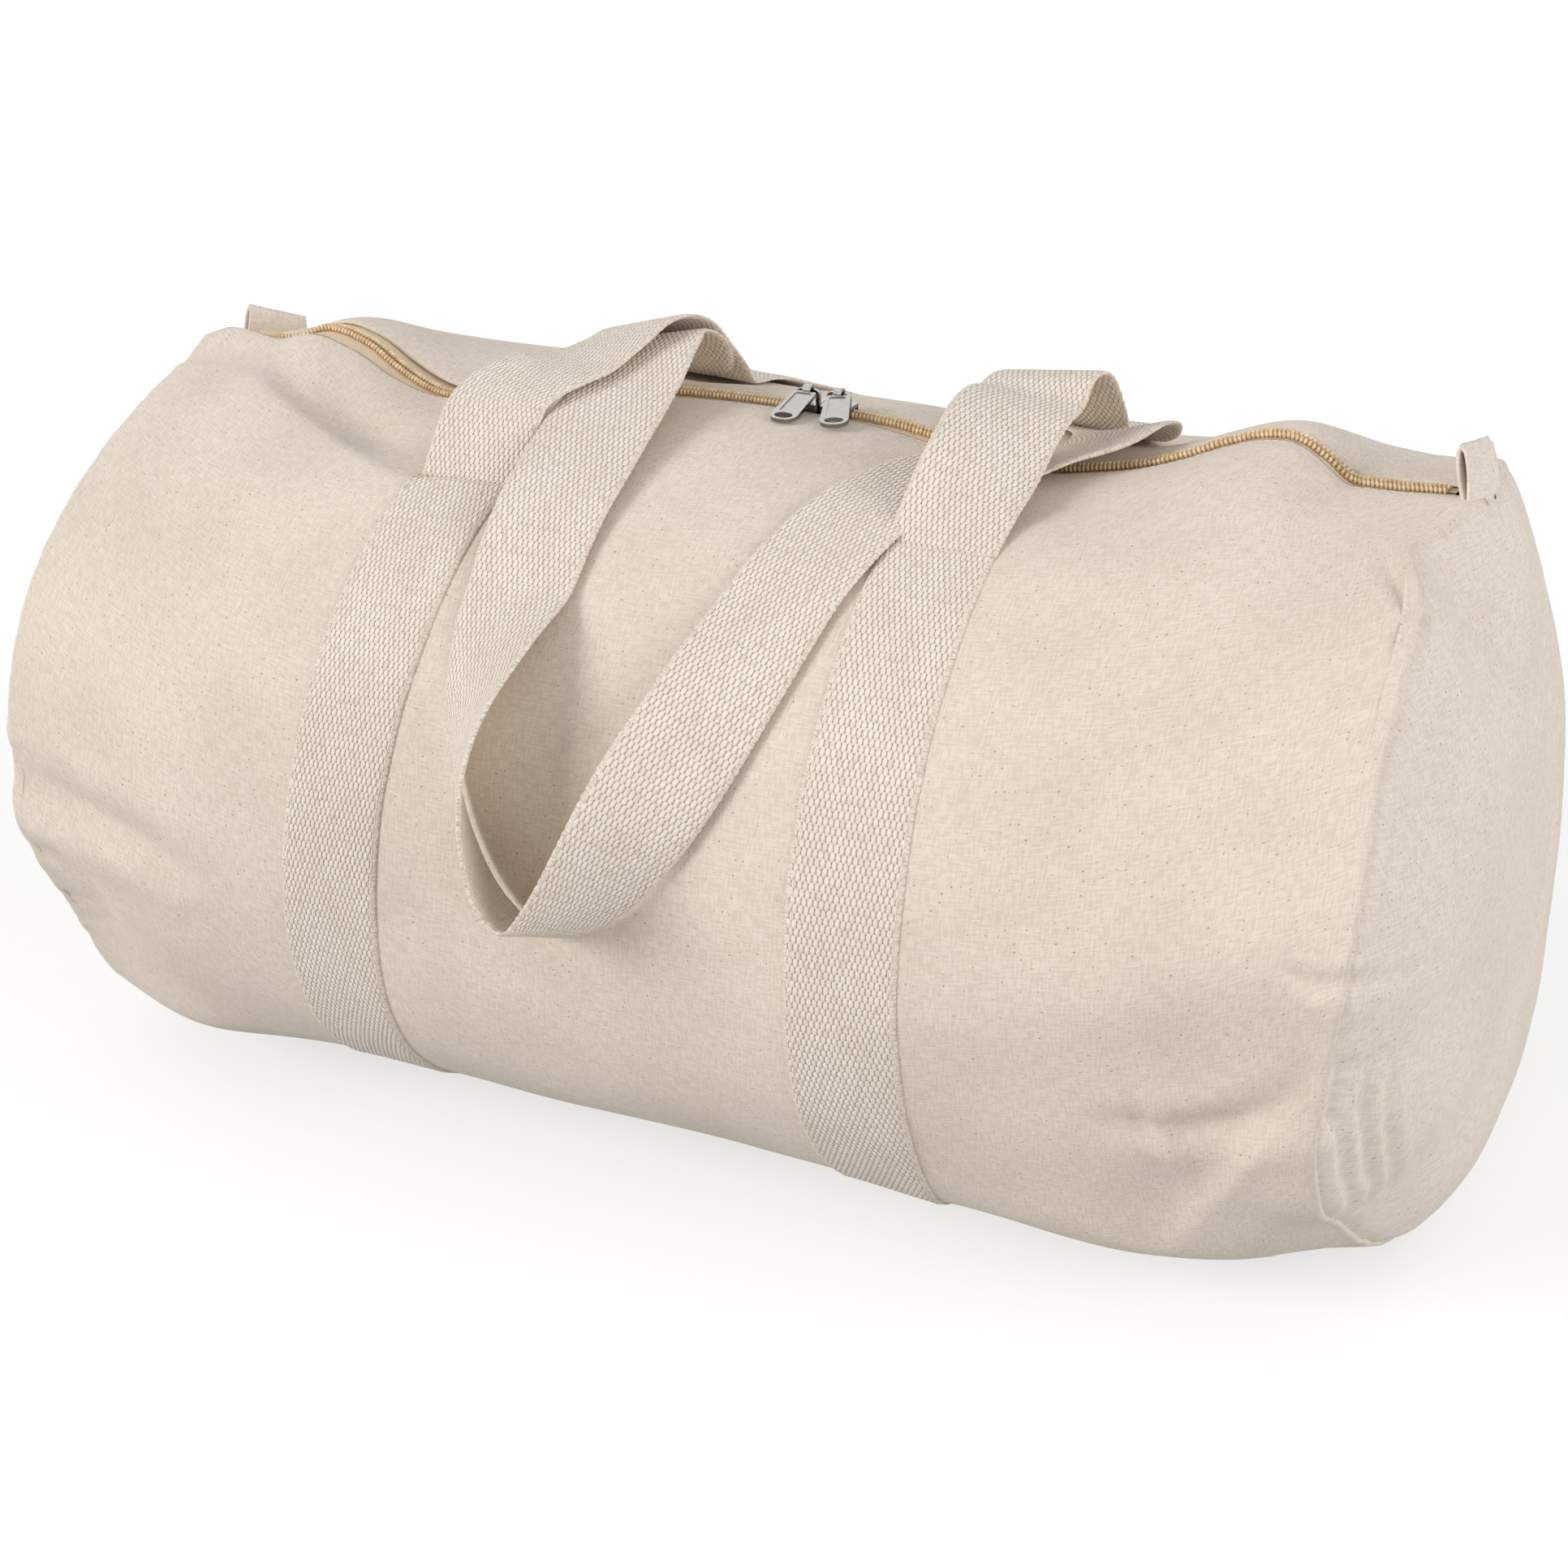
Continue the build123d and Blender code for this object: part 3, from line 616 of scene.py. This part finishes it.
def woven(name, material, across, along, place, closed=False):
    """Cloth from a grid: place(u, v), both 0 to 1, gives its points and its own coordinates."""
    bm = bmesh.new()
    bmesh.ops.create_grid(bm, x_segments=across, y_segments=along, size=0.5)
    bm.loops.layers.uv.new("cloth")
    piece = finish_piece(bm, name, material)
    mesh = piece.data
    flat = np.empty(len(mesh.vertices) * 3)
    mesh.vertices.foreach_get("co", flat)
    flat = flat.reshape(-1, 3) + 0.5
    points, own = place(flat[:, 0], flat[:, 1])
    mesh.vertices.foreach_set("co", points.astype(np.float32).ravel())
    corners = np.empty(len(mesh.loops), int)
    mesh.loops.foreach_get("vertex_index", corners)
    mesh.uv_layers["cloth"].data.foreach_set("uv", own[corners].astype(np.float32).ravel())
    if closed:
        bm = bmesh.new()
        bm.from_mesh(mesh)
        bmesh.ops.remove_doubles(bm, verts=bm.verts, dist=1e-6)
        if closed == "tube":
            ends = [e for e in bm.edges if e.is_boundary]
            bmesh.ops.holes_fill(bm, edges=ends, sides=0)
        bm.to_mesh(mesh)
        bm.free()
    mesh.update()
    return piece


def main_canvas():
    """The body panel: one cloth from the back of the zip, under the bag, to its front."""
    fold, turned = 0.0006, 0.006         # hem at the zip: radius, and what is folded under
    roll, allowance = 0.0024, 0.004      # at the end seams: radius, and what goes inside

    def place(u, v):
        run = (2 * u - 1) * (HALF_LENGTH + allowance)
        edge = HALF_LENGTH - roll
        over = np.clip(np.abs(run) - edge, 0, None)
        bend = np.minimum(over / roll, math.pi / 2)
        sink = roll * (1 - np.cos(bend)) + np.clip(over - roll * math.pi / 2, 0, None)
        outward = np.sign(run) * roll * np.sin(bend)
        along = np.clip(run, -edge, edge)
        girth = np.interp(along, ALONG, GIRTH)
        half = slot_half(along + MIDDLE_X)
        hem = turned / (girth - 2 * half + 2 * turned)
        w = (v - hem) / (1 - 2 * hem)
        reach = half + np.clip(w, 0, 1) * (girth - 2 * half)
        past = np.clip(np.maximum(-w, w - 1), 0, None) * (girth - 2 * half)
        curl = np.minimum(past / fold, math.pi)
        inward = fold * np.sin(curl) - np.clip(past - fold * math.pi, 0, None)
        under = fold * (1 - np.cos(curl))
        reach = reach + np.where(w < 0, -1, 1) * inward * (past > 0)
        points, _ = on_bag(along, reach, -sink - under)
        points[:, 0] += outward
        return points, np.stack([run + MIDDLE_X, reach], -1)

    return woven("canvas_body", CANVAS_FINISH, 290, 340, place)


def slot_half(x):
    """Half the gap between the folded canvas edges, which gapes by the left end."""
    return rise(x, [(-260, 6), (-225, 6.5), (-190, 9), (-160, 9.5), (-130, 8), (-90, 6.4),
                    (-30, 5.8), (60, 5.8), (120, 5.2), (150, 4.8), (194, 5.2), (206, 6.4),
                    (223, 6.4), (238, 5.4), (260, 5)])


# how much fuller the right end is than a plain dome, by height from its middle
RIGHT_SWELL = [
    (-150, 2), (-120, 2.4), (-90, 1.6), (-70, 0.9), (-50, 0.5), (-10, 0), (20, -0.2),
    (60, -2.0), (100, -3.2), (150, -3),
]


def end_canvas(side):
    """A domed end, rolled into its seam, with the slack that the seam gathers."""
    roll = 0.0024

    def place(u, v):
        spread = 1.0 - u
        angle = v if side > 0 else 1 - v
        reach_share = angle - 0.5
        along = side * (HALF_LENGTH - roll)
        girth = np.interp(along, ALONG, GIRTH)
        rim, out = on_bag(np.full_like(u, along), reach_share * girth)
        seam_x = rim[:, 0]
        middle = np.array([0.0, MIDDLE_Z + 0.004])
        share = np.sqrt(np.clip(spread, 0, 1))
        radius = rim[:, 1:] - middle
        length = np.linalg.norm(radius, axis=1)
        flat = middle + radius * share[:, None]
        height = (flat[:, 1] - MIDDLE_Z)
        bulge = DOME * (1 - share**4)
        if side > 0:
            # the stuffing settles, so this end is fullest below its middle
            bulge = bulge + rise(height, RIGHT_SWELL) * (1 - share**8)
        # rolled down into the seam at the rim
        near = np.clip((share - 1) * length + 0.007, 0, 0.007) / 0.007
        bulge = bulge - 0.0052 * near**2.5
        centre_x = MIDDLE_X + side * HALF_LENGTH - (0.054 if side > 0 else -0.0086) * height
        x = np.where(share > 0.02, seam_x * share**2 + centre_x * (1 - share**2), centre_x)
        x = x + side * (bulge + roll + end_relief(side, flat[:, 0], flat[:, 1], share))
        return (np.stack([x, flat[:, 0], flat[:, 1]], -1),
                np.stack([flat[:, 0], flat[:, 1]], -1))

    name = "canvas_end_right" if side > 0 else "canvas_end_left"
    # the end cloth takes the lighter copy of the canvas, which is painted light
    return woven(name, LIGHTER_END_FINISH, 110, 420, place, closed=True)


# folds in the end cloths, as (path, width, depth), the path by depth and height
END_CREASES = {
    1: [
        ([(-58, 246), (-57, 226), (-42, 200), (-28, 172)], 9, 1.8),
        ([(-140, 134), (-139, 112), (-128, 84), (-112, 60)], 2.6, 3.4),
        ([(-132, 128), (-131, 108), (-121, 84), (-100, 56)], 2.6, 3.4),
        ([(-122, 124), (-122, 104), (-112, 82), (-94, 60)], 2.6, 2.4),
        ([(-36, 256), (-12, 247), (16, 236), (40, 226)], 4, 1.2),
        ([(54, 232), (52, 190), (42, 150), (16, 118), (-26, 92)], 6, 1.7),
        ([(84, 220), (90, 180), (86, 130), (60, 90)], 6, 1.5),
        ([(10, 246), (22, 214), (24, 176)], 6, 1.0),
    ],
    -1: [
        ([(50, 230), (46, 180), (30, 140)], 7, 1.6),
        ([(-70, 210), (-74, 170), (-60, 120)], 7, 1.8),
        ([(-12, 244), (-6, 200), (-16, 160)], 6, 1.2),
        ([(-120, 120), (-104, 92), (-84, 60)], 5, 1.8),
    ],
}


def end_relief(side, y, z, share):
    """Soft upright pleats, and puckers fanning from the seam."""
    seed = 5 if side > 0 else 6
    total = 0.0012 * ripple(y, z, seed, 80)
    wide = ease((0.985 - share) * 12)
    total = total + 0.0005 * wide * ripple(y * 1.9, z * 0.4, seed + 10, 60)
    for path, width, depth in END_CREASES[side]:
        total = total + crease(y, z, path, width, depth) * ease((1 - share) * 30)
    around = np.arctan2(y, z - MIDDLE_Z)
    dice = np.random.default_rng(seed + 40)
    for _ in range(34):
        at, depth = dice.uniform(-math.pi, math.pi), dice.uniform(0.2, 1.0) / 1000
        width, run = dice.uniform(0.012, 0.03), dice.uniform(0.05, 0.2)
        off = np.angle(np.exp(1j * (around - at)))
        total = total - depth * np.exp(-((off / width) ** 2)) * ease(
            (share - 1 + run) / run) * ease((1.0 - share) * 30)
    return total


def webbing_section(u, width, thickness):
    """Across and height for a strap's rounded section, u running once round it."""
    p = np.where(u < 0.5, 2 * u, 2 - 2 * u)
    swing = -np.cos(math.pi * p)
    across = np.sign(swing) * np.abs(swing) ** 0.8 * width / 2
    edge = np.clip(np.abs(across) * 2 / width, 0, 1)
    round_off = np.sqrt(np.clip(1 - edge**14, 0, 1))
    height = np.where(u < 0.5, 0.5 + 0.5 * round_off, 0.5 - 0.5 * round_off)
    return across, height * thickness


def selvedge(across, run, width):
    """The edge's small scallops, one for each weft turn."""
    edge = ease((np.abs(across) * 2 / width - 0.9) * 10)
    return across * (1 + 0.012 * edge * np.sin(run * 2 * math.pi / 0.0031))


def band_middle(side, reach):
    """Where a band runs along the bag: the left one leans in towards the top."""
    points, _ = on_bag(np.full_like(reach, side * BAND_X - MIDDLE_X), reach)
    at, lean = BAND_PLACES[side]
    return at - MIDDLE_X + lean * (points[:, 2] - MIDDLE_Z)


def band(side):
    """Webbing sewn round the bag, pressed flat under it."""
    def place(u, v):
        along0 = np.full_like(v, side * BAND_X - MIDDLE_X)
        girth = np.interp(along0, ALONG, GIRTH)
        start = BASE_REACH - 0.0015
        reach = start + v * (girth - 2 * start)
        run = v * (girth[0] - 2 * start)
        across, height = webbing_section(u, WEBBING_WIDTH, WEBBING)
        across = selvedge(across, run, WEBBING_WIDTH)
        folded = (reach + girth / 2) % girth - girth / 2
        middle = band_middle(side, folded)
        points, out = on_bag(middle + across, folded, height - PRESSED)
        points[:, 2] = np.where(points[:, 2] < FLOOR_GAP + height, np.maximum(
            points[:, 2], FLOOR_GAP - height), points[:, 2])
        return points, np.stack([across, run], -1)

    name = "band_left" if side < 0 else "band_right"
    return woven(name, WEBBING_FINISH, 28, 640, place, closed="tube")


def through(stations):
    """A smooth route through stations in millimetres and degrees, in steps of about 1.2 mm."""
    s = np.array(stations, float)
    ends = np.vstack([2 * s[0] - s[1], s, 2 * s[-1] - s[-2]])
    route = []
    for a, b, c, d in zip(ends, ends[1:], ends[2:], ends[3:]):
        count = max(2, int(np.linalg.norm((c - b)[:2]) / 1.2))
        t = (np.arange(count) / count)[:, None]
        route.append(0.5 * (2 * b + (c - a) * t + (2 * a - 5 * b + 4 * c - d) * t**2
                            + (3 * b - a - 3 * c + d) * t**3))
    return np.vstack(route + [s[-1:]])


def smooth_rows(rows, times):
    """Rows evened out with their neighbours, the first and last staying."""
    for _ in range(times):
        rows[1:-1] = (rows[:-2] + 2 * rows[1:-1] + rows[2:]) / 4
    return rows


def strap(name, stations):
    """A handle laid through (x, reach, rise, roll, cup) stations over the canvas."""
    route = through(stations)
    x, reach = route[:, 0] / 1000, route[:, 1] / 1000
    roll = np.radians(route[:, 3])
    edge_on = WEBBING_WIDTH / 2 * np.sin(np.abs(roll))
    last = len(route) - 1
    sewn = np.clip(np.minimum(np.arange(last + 1), last - np.arange(last + 1)) / 20, 0, 1)
    lift = route[:, 2] / 1000 + edge_on + 0.0006 + 0.0015 * ease(sewn)
    flat, out = on_bag(x - MIDDLE_X, reach)
    middle = smooth_rows(flat + out * lift[:, None], 14)
    out = smooth_rows(out.copy(), 40)
    tangent = np.gradient(middle, axis=0)
    tangent /= np.linalg.norm(tangent, axis=1, keepdims=True)
    wide = smooth_rows(np.cross(tangent, out), 40)
    wide /= np.linalg.norm(wide, axis=1, keepdims=True)
    up = np.cross(wide, tangent)
    side = wide * np.cos(roll)[:, None] + up * np.sin(roll)[:, None]
    face = np.cross(side, tangent)
    cup = route[:, 4] / 1000
    run = np.concatenate([[0], np.cumsum(np.linalg.norm(np.diff(middle, axis=0), axis=1))])

    def place(u, v):
        i = v * last
        i0 = np.minimum(i.astype(int), last - 1)
        f = (i - i0)[:, None]

        def at(rows):
            return rows[i0] * (1 - f) + rows[i0 + 1] * f

        far = run[i0] * (1 - f[:, 0]) + run[i0 + 1] * f[:, 0]
        bow = cup[i0] * (1 - f[:, 0]) + cup[i0 + 1] * f[:, 0]
        across, height = webbing_section(u, WEBBING_WIDTH, WEBBING)
        across = selvedge(across, far, WEBBING_WIDTH)
        height = height - WEBBING / 2 - bow * (2 * across / WEBBING_WIDTH) ** 2
        points = at(middle) + at(side) * across[:, None] + at(face) * height[:, None]
        return points, np.stack([across, far], -1)

    return woven(name, WEBBING_FINISH, 28, last, place, closed="tube")


# from the right back stitches, over the zip, down the front, and up to the left back ones
BACK_HANDLE = [
    (94, 86, 0, 0, 0), (98, 76, 0.3, 0, 0), (106, 62, 0.8, 0, 0), (115, 46, 1, -4, 0),
    (121, 30, 1.2, -8, 0), (122, 14, 1.2, -10, 0), (117, 0, 1.5, -8, 0),
    (104, -15, 2, -4, 0), (89, -33, 2, 0, 0), (75, -53, 1.2, 0, 0), (64, -74, 0.4, 0, 0),
    (57, -96, 0, 0, 0), (51, -120, 0, 0, 0), (45, -144, 0, 6, 0), (36, -172, 0, 18, 0),
    (25, -198, 0, 38, 0), (11, -220, 0, 56, 0), (-5, -232, 0, 66, 0), (-19, -225, 0, 70, 0),
    (-29, -207, 0, 66, 0), (-35, -183, 0, 52, 0), (-37, -157, 0, 26, 0),
    (-38, -130, 0, 2, 0), (-38, -106, 0.8, -7, 0), (-38, -84, 2.0, -10, 0),
    (-39, -60, 4.5, -9, 0), (-40, -38, 8.5, -3, 0), (-42, -18, 13, 4, 0),
    (-46, -3, 15.5, 8, 0), (-48, 10, 13.5, 8, 0), (-50, 22, 9, 4, 0), (-56, 36, 4, 0, 0),
    (-67, 50, 1.2, 0, 0), (-78, 62, 0.6, 0, 0), (-82, 74, 0.3, 0, 0), (-83, 86, 0, 0, 0),
]
# from the left front stitches, over the back handle, down the back, and up again
FRONT_HANDLE = [
    (-77, -86, 0, 0, 0), (-77, -74, 4, -4, 0), (-76, -58, 10.5, -8, 0),
    (-70, -42, 13, -8, 0), (-63, -28, 13.5, -1, 0), (-57, -14, 15, 7, 0),
    (-54, -3, 17.5, 12, 0), (-53, 7, 17, 14, 0), (-52, 17, 13.5, 12, 0), (-51, 27, 9.5, 7, 0),
    (-51, 39, 5.5, 3, 0), (-54, 56, 2, 0, 0), (-58, 76, 0.5, 0, 0), (-58, 98, 0.4, 0, 0),
    (-50, 124, 0.4, 0, 0), (-30, 151, 0.4, 6, 0),
    (-4, 178, 0, 20, 0), (20, 203, 0, 42, 0), (40, 224, 0, 58, 0), (58, 236, 0, 64, 0),
    (75, 226, 0, 58, 0), (85, 200, 0, 42, 0), (89, 170, 0, 20, 0), (91, 140, 0.5, 6, 0),
    (92, 110, 0.5, 0, 0), (93, 80, 0.8, 0, 0), (95, 54, 2.5, 0, 0), (98, 36, 9, -5, 0),
    (98, 22, 20.5, -9, 0), (97, 8, 24.5, -5, 0), (97, -12, 20, 7, 0), (97, -32, 12, 18, 0),
    (97, -52, 5.5, 19, 0), (96, -70, 2, 8, 0), (95, -86, 0, 0, 0),
]


def beads(name, material, points, ahead, up, size):
    """Many small rounded pieces, each at its point and turned to run ahead."""
    bm = bmesh.new()
    bmesh.ops.create_uvsphere(bm, u_segments=6, v_segments=5, radius=1,
                              matrix=Matrix.Rotation(math.pi / 2, 4, "Y"))
    one = bpy.data.meshes.new("one bead")
    bm.to_mesh(one)
    each, count = len(bm.verts), len(points)
    for _ in range(count - 1):
        bm.from_mesh(one, face_normals=False, vertex_normals=False)
    bpy.data.meshes.remove(one)
    piece = finish_piece(bm, name, material)
    flat = np.empty(each * count * 3)
    piece.data.vertices.foreach_get("co", flat)
    shape = flat.reshape(count, each, 3) * np.array(size) / 2
    up = up / np.linalg.norm(up, axis=1, keepdims=True)
    side = np.cross(up, ahead)
    side /= np.linalg.norm(side, axis=1, keepdims=True)
    ahead = np.cross(side, up)
    placed = (np.asarray(points)[:, None] + shape[..., :1] * ahead[:, None]
              + shape[..., 1:2] * side[:, None] + shape[..., 2:] * up[:, None])
    piece.data.vertices.foreach_set("co", placed.astype(np.float32).ravel())
    piece.data.update()
    return piece


def stitches(name, places, length, width):
    """Single stitches of thread: places gives each one's point, direction and up."""
    points, ahead, up = (np.array(rows) for rows in zip(*places))
    return beads(name, THREAD_FINISH, points, ahead, up, (length, width, width * 0.8))


def sewn_row(along_of, reaches, lift):
    """Stitch places along a row that runs round the bag."""
    along = along_of(reaches)
    points, out = on_bag(along, reaches, lift)
    ahead, _ = on_bag(along_of(reaches + 0.001), reaches + 0.001, lift)
    return list(zip(points, ahead - points, out))


def band_stitches(side):
    """The two rows of stitches along a band's edges, up the front and up the back."""
    places = []
    for edge in (-1, 1):
        for way in (-1, 1):
            reaches = way * np.arange(BASE_REACH + 0.004, 0.37, STITCH)
            places += sewn_row(
                lambda r, e=edge: band_middle(side, r) + e * (WEBBING_WIDTH / 2 - 0.0026),
                reaches, WEBBING - PRESSED - 0.0001)
    name = "band_stitches_left" if side < 0 else "band_stitches_right"
    return stitches(name, places, 0.0027, 0.0006)


def base_stitches():
    """The straight row across each foot of the handles."""
    places = []
    for side in (-1, 1):
        for way in (-1, 1):
            for across in np.arange(-0.0172, 0.0173, 0.0023):
                reach = np.array([way * (BASE_REACH + 0.001)])
                along = band_middle(side, reach) + across
                point, out = on_bag(along, reach, WEBBING - PRESSED + 0.0001)
                ahead, _ = on_bag(along + 0.001, reach, WEBBING - PRESSED + 0.0001)
                places.append((point[0], ahead[0] - point[0], out[0]))
    return stitches("handle_foot_stitches", places, 0.0022, 0.0007)


def zip_stitches():
    """The rows of topstitching along both folded edges beside the zip."""
    places = []
    for x in np.arange(-0.226, 0.231, 0.0029):
        for way in (-1, 1):
            reach = way * (slot_half(x) + 0.0024)
            point, out = on_bag(np.array([x - MIDDLE_X]), np.array([reach]), 0.00005)
            ahead, _ = on_bag(np.array([x - MIDDLE_X + 0.001]), np.array([reach]), 0.00005)
            places.append((point[0], ahead[0] - point[0], out[0]))
    return stitches("zip_stitches", places, 0.0023, 0.00045)


# ---- zip -----------------------------------------------------------------------------
def zip_tape(side):
    """Half of the zip's tape, under the folded canvas."""
    near = min(abs(coil_low.y), abs(coil_high.y))
    far = 0.0125

    def place(u, v):
        x = panel_low.x + 0.001 + u * (panel_high.x - panel_low.x - 0.002)
        sway, lift = zip_line(x)
        y = side * (near + (v if side > 0 else 1 - v) * (far - near))
        z = tape_high.z + lift - 0.0004 * np.abs(y) / far + 0.0001 * np.sin(x * 900)
        return np.stack([x, y + sway, z], -1), np.stack([x, y], -1)

    name = "zip_tape_back_half" if side > 0 else "zip_tape_front_half"
    return woven(name, TAPE_FINISH, 240, 8, place)


def zip_coil(side):
    """One row of the coil's loops, each a small slanting bead."""
    reach = (abs(coil_low.y) + abs(coil_high.y)) / 2
    pitch = 0.00145
    x = np.arange(panel_low.x + 0.003, panel_high.x - 0.003, pitch)
    x = x + (pitch / 2 if side > 0 else 0)
    sway, lift = zip_line(x)
    more_sway, more_lift = zip_line(x + 0.001)
    zero = np.zeros_like(x)
    run = np.stack([zero + 0.001, more_sway - sway, more_lift - lift], -1)
    up = np.cross(run, np.array([0.0, 1.0, 0.0]))
    up *= np.where(up[:, 2:] < 0, -1, 1)
    up += side * 0.25 * np.linalg.norm(up, axis=1, keepdims=True) * np.array([0.0, 1.0, 0.0])
    slant = run + np.array([0.0, -side * 0.00045, 0.0])
    points = np.stack([x, side * reach + sway, tape_high.z + 0.0012 + lift], -1)
    name = "coil_row_back" if side > 0 else "coil_row_front"
    return beads(name, COIL_FINISH, points, slant, up, (0.0013, 0.0027, 0.0023))


# ---- tab loops -----------------------------------------------------------------------
def tab(side):
    """A strip of canvas folded over and caught in the end seam."""
    width = 0.0270
    if side > 0:
        foot, height = Vector((0.2485, 0.0, 0.2625)), 0.0200
        wide = Vector((0.21, 0.95, -0.20)).normalized()
        lean = Vector((-0.32, 0.0, 0.95))
    else:
        foot, height = Vector((-0.2325, 0.0265, 0.2465)), 0.0190
        wide = Vector((0.40, 0.85, -0.29)).normalized()
        lean = Vector((-0.02, 0.33, 0.94))
    out = wide.cross(lean).normalized()
    if out.x * side < 0:
        out = -out
    lean = (lean - wide * lean.dot(wide)).normalized()

    def place(u, v):
        # up the inner layer, over the fold and down the outer one
        t = 2 * u - 1
        climb = height * (1 - np.abs(t)) ** 0.8
        gape = 0.0007 + 0.0011 * np.sin(math.pi * np.clip(np.abs(t), 0, 1)) ** 0.8
        off = np.sign(t) * gape * np.clip(np.abs(t) * 7, 0, 1)
        s = 2 * v - 1
        across = s * width / 2 * (1 - 0.06 * climb / height)
        climb = climb + 0.0008 * s * side * climb / height
        crinkle = 0.0007 * np.sin(v * 15 + 2 + t) * climb / height - 0.0012 * s * s
        points = (np.array(foot)[None] + np.array(wide)[None] * across[:, None]
                  + np.array(lean)[None] * climb[:, None]
                  + np.array(out)[None] * (off + crinkle)[:, None])
        return points, np.stack([across, t * height], -1)

    name = "tab_right" if side > 0 else "tab_left"
    # the tab takes the lighter copy of the canvas, which is painted light
    piece = woven(name, LIGHTER_END_FINISH, 60, 24, place)
    thick = piece.modifiers.new("canvas thickness", "SOLIDIFY")
    thick.thickness = CANVAS
    thick.offset = 0
    return piece


# ---- putting the bag together ----------------------------------------------------------
body = main_canvas()
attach(body, "bag")
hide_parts("main_panel", "left_seam_binding", "right_seam_binding")
# cut as a rectangle: the bag's length with its seams, and once round it with the zip's hems
for side in (-1, 1):
    end = end_canvas(side)
    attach(end, "bag")
    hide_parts("right_end_panel" if side > 0 else "left_end_panel")
    loop = tab(side)
    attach(loop, "bag")
    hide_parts("right_tab_loop" if side > 0 else "left_tab_loop")
    strip = band(side)
    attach(strip, "bag")
    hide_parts("right_band" if side > 0 else "left_band")
    rows = band_stitches(side)
    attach(rows, "bag")
    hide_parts("right_band_stitching" if side > 0 else "left_band_stitching")
    tape = zip_tape(side)
    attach(tape, "bag")
    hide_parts("zip_tape_back" if side > 0 else "zip_tape_front")
    coil = zip_coil(side)
    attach(coil, "bag")
    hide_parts("zip_coil_back" if side > 0 else "zip_coil_front")
feet = base_stitches()
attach(feet, "bag")
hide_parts("handle_base_stitching")
topstitch = zip_stitches()
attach(topstitch, "bag")
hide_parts("zip_topstitching")

back_strap = strap("handle_back", BACK_HANDLE)
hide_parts("back_handle")
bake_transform(back_strap)
front_strap = strap("handle_front", FRONT_HANDLE)
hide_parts("front_handle")
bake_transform(front_strap)

for node in ("left_slider_body", "right_slider_body", "left_pull", "right_pull"):
    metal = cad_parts[node]
    metal.data.materials.clear()
    metal.data.materials.append(METAL_FINISH)


# ---- floor, light and camera -----------------------------------------------------------
def looked_at(tree):
    """1 for what the camera sees, directly or in metal or glass; 0 for the light a thing gives."""
    path = add(tree, "ShaderNodeLightPath")
    return maths(tree, "MAXIMUM", path.outputs["Is Camera Ray"], maths(
        tree, "MAXIMUM", path.outputs["Is Glossy Ray"], path.outputs["Is Transmission Ray"]))


def studio():
    """A white room: even light, and a floor that shows white but keeps the shadow."""
    bm = bmesh.new()
    bmesh.ops.create_grid(bm, x_segments=1, y_segments=1, size=6.0)
    material, tree, shader = new_finish("pale_floor", 1.0)
    seen = looked_at(tree)
    # seen, it glows up to white; what the bag gets back from it is a mid grey
    shade = mixed_colour(tree, seen, (0.55, 0.55, 0.55, 1), (0.46, 0.46, 0.46, 1))
    tree.links.new(shade, shader.inputs["Base Color"])
    shader.inputs["Specular IOR Level"].default_value = 0.0
    shader.inputs["Emission Color"].default_value = (1, 1, 1, 1)
    tree.links.new(maths(tree, "MULTIPLY", seen, 0.63), shader.inputs["Emission Strength"])
    mesh = bpy.data.meshes.new("floor")
    bm.to_mesh(mesh)
    bm.free()
    floor = bpy.data.objects.new("floor", mesh)
    mesh.materials.append(material)
    bpy.context.scene.collection.objects.link(floor)

    world = bpy.data.worlds.new("studio")
    bpy.context.scene.world = world
    world.use_nodes = True
    tree = world.node_tree
    tree.nodes.clear()
    output = add(tree, "ShaderNodeOutputWorld")
    room = add(tree, "ShaderNodeBackground", {"Color": (1, 1, 1, 1), "Strength": 0.50})
    white = add(tree, "ShaderNodeBackground", {"Color": (1, 1, 1, 1), "Strength": 1.0})
    seen = looked_at(tree)
    mix = add(tree, "ShaderNodeMixShader")
    tree.links.new(seen, mix.inputs[0])
    tree.links.new(room.outputs[0], mix.inputs[1])
    tree.links.new(white.outputs[0], mix.inputs[2])
    tree.links.new(mix.outputs[0], output.inputs[0])


def sun(name, direction, spread, level, tint=(1, 1, 1)):
    """Even light from a direction; a level of 1 shows a facing white surface as white."""
    light = bpy.data.lights.new(name, "SUN")
    light.energy = level * math.pi
    light.angle = math.radians(spread)
    light.color = tint
    holder = bpy.data.objects.new(name, light)
    holder.rotation_euler = Vector(direction).to_track_quat("Z", "Y").to_euler()
    bpy.context.scene.collection.objects.link(holder)


studio()
sun("key", (-0.68, -0.70, 0.42), 28, 0.54, (1.0, 0.994, 0.98))
sun("fill", (0.96, -0.14, 0.30), 45, 0.43)

camera = bpy.data.cameras.new("camera")
camera.lens = 61.25
camera.sensor_width = 36
viewer = bpy.data.objects.new("camera", camera)
viewer.location = (0.37594, -0.83022, 0.54563)
sight = (Vector((0.0023, 0, 0.11624)) - viewer.location).to_track_quat("-Z", "Y")
viewer.rotation_euler = (sight @ Euler((0, 0, -0.0026)).to_quaternion()).to_euler()
bpy.context.scene.collection.objects.link(viewer)
bpy.context.scene.camera = viewer
bpy.context.scene.view_settings.view_transform = "Standard"

bpy.context.view_layer.update()
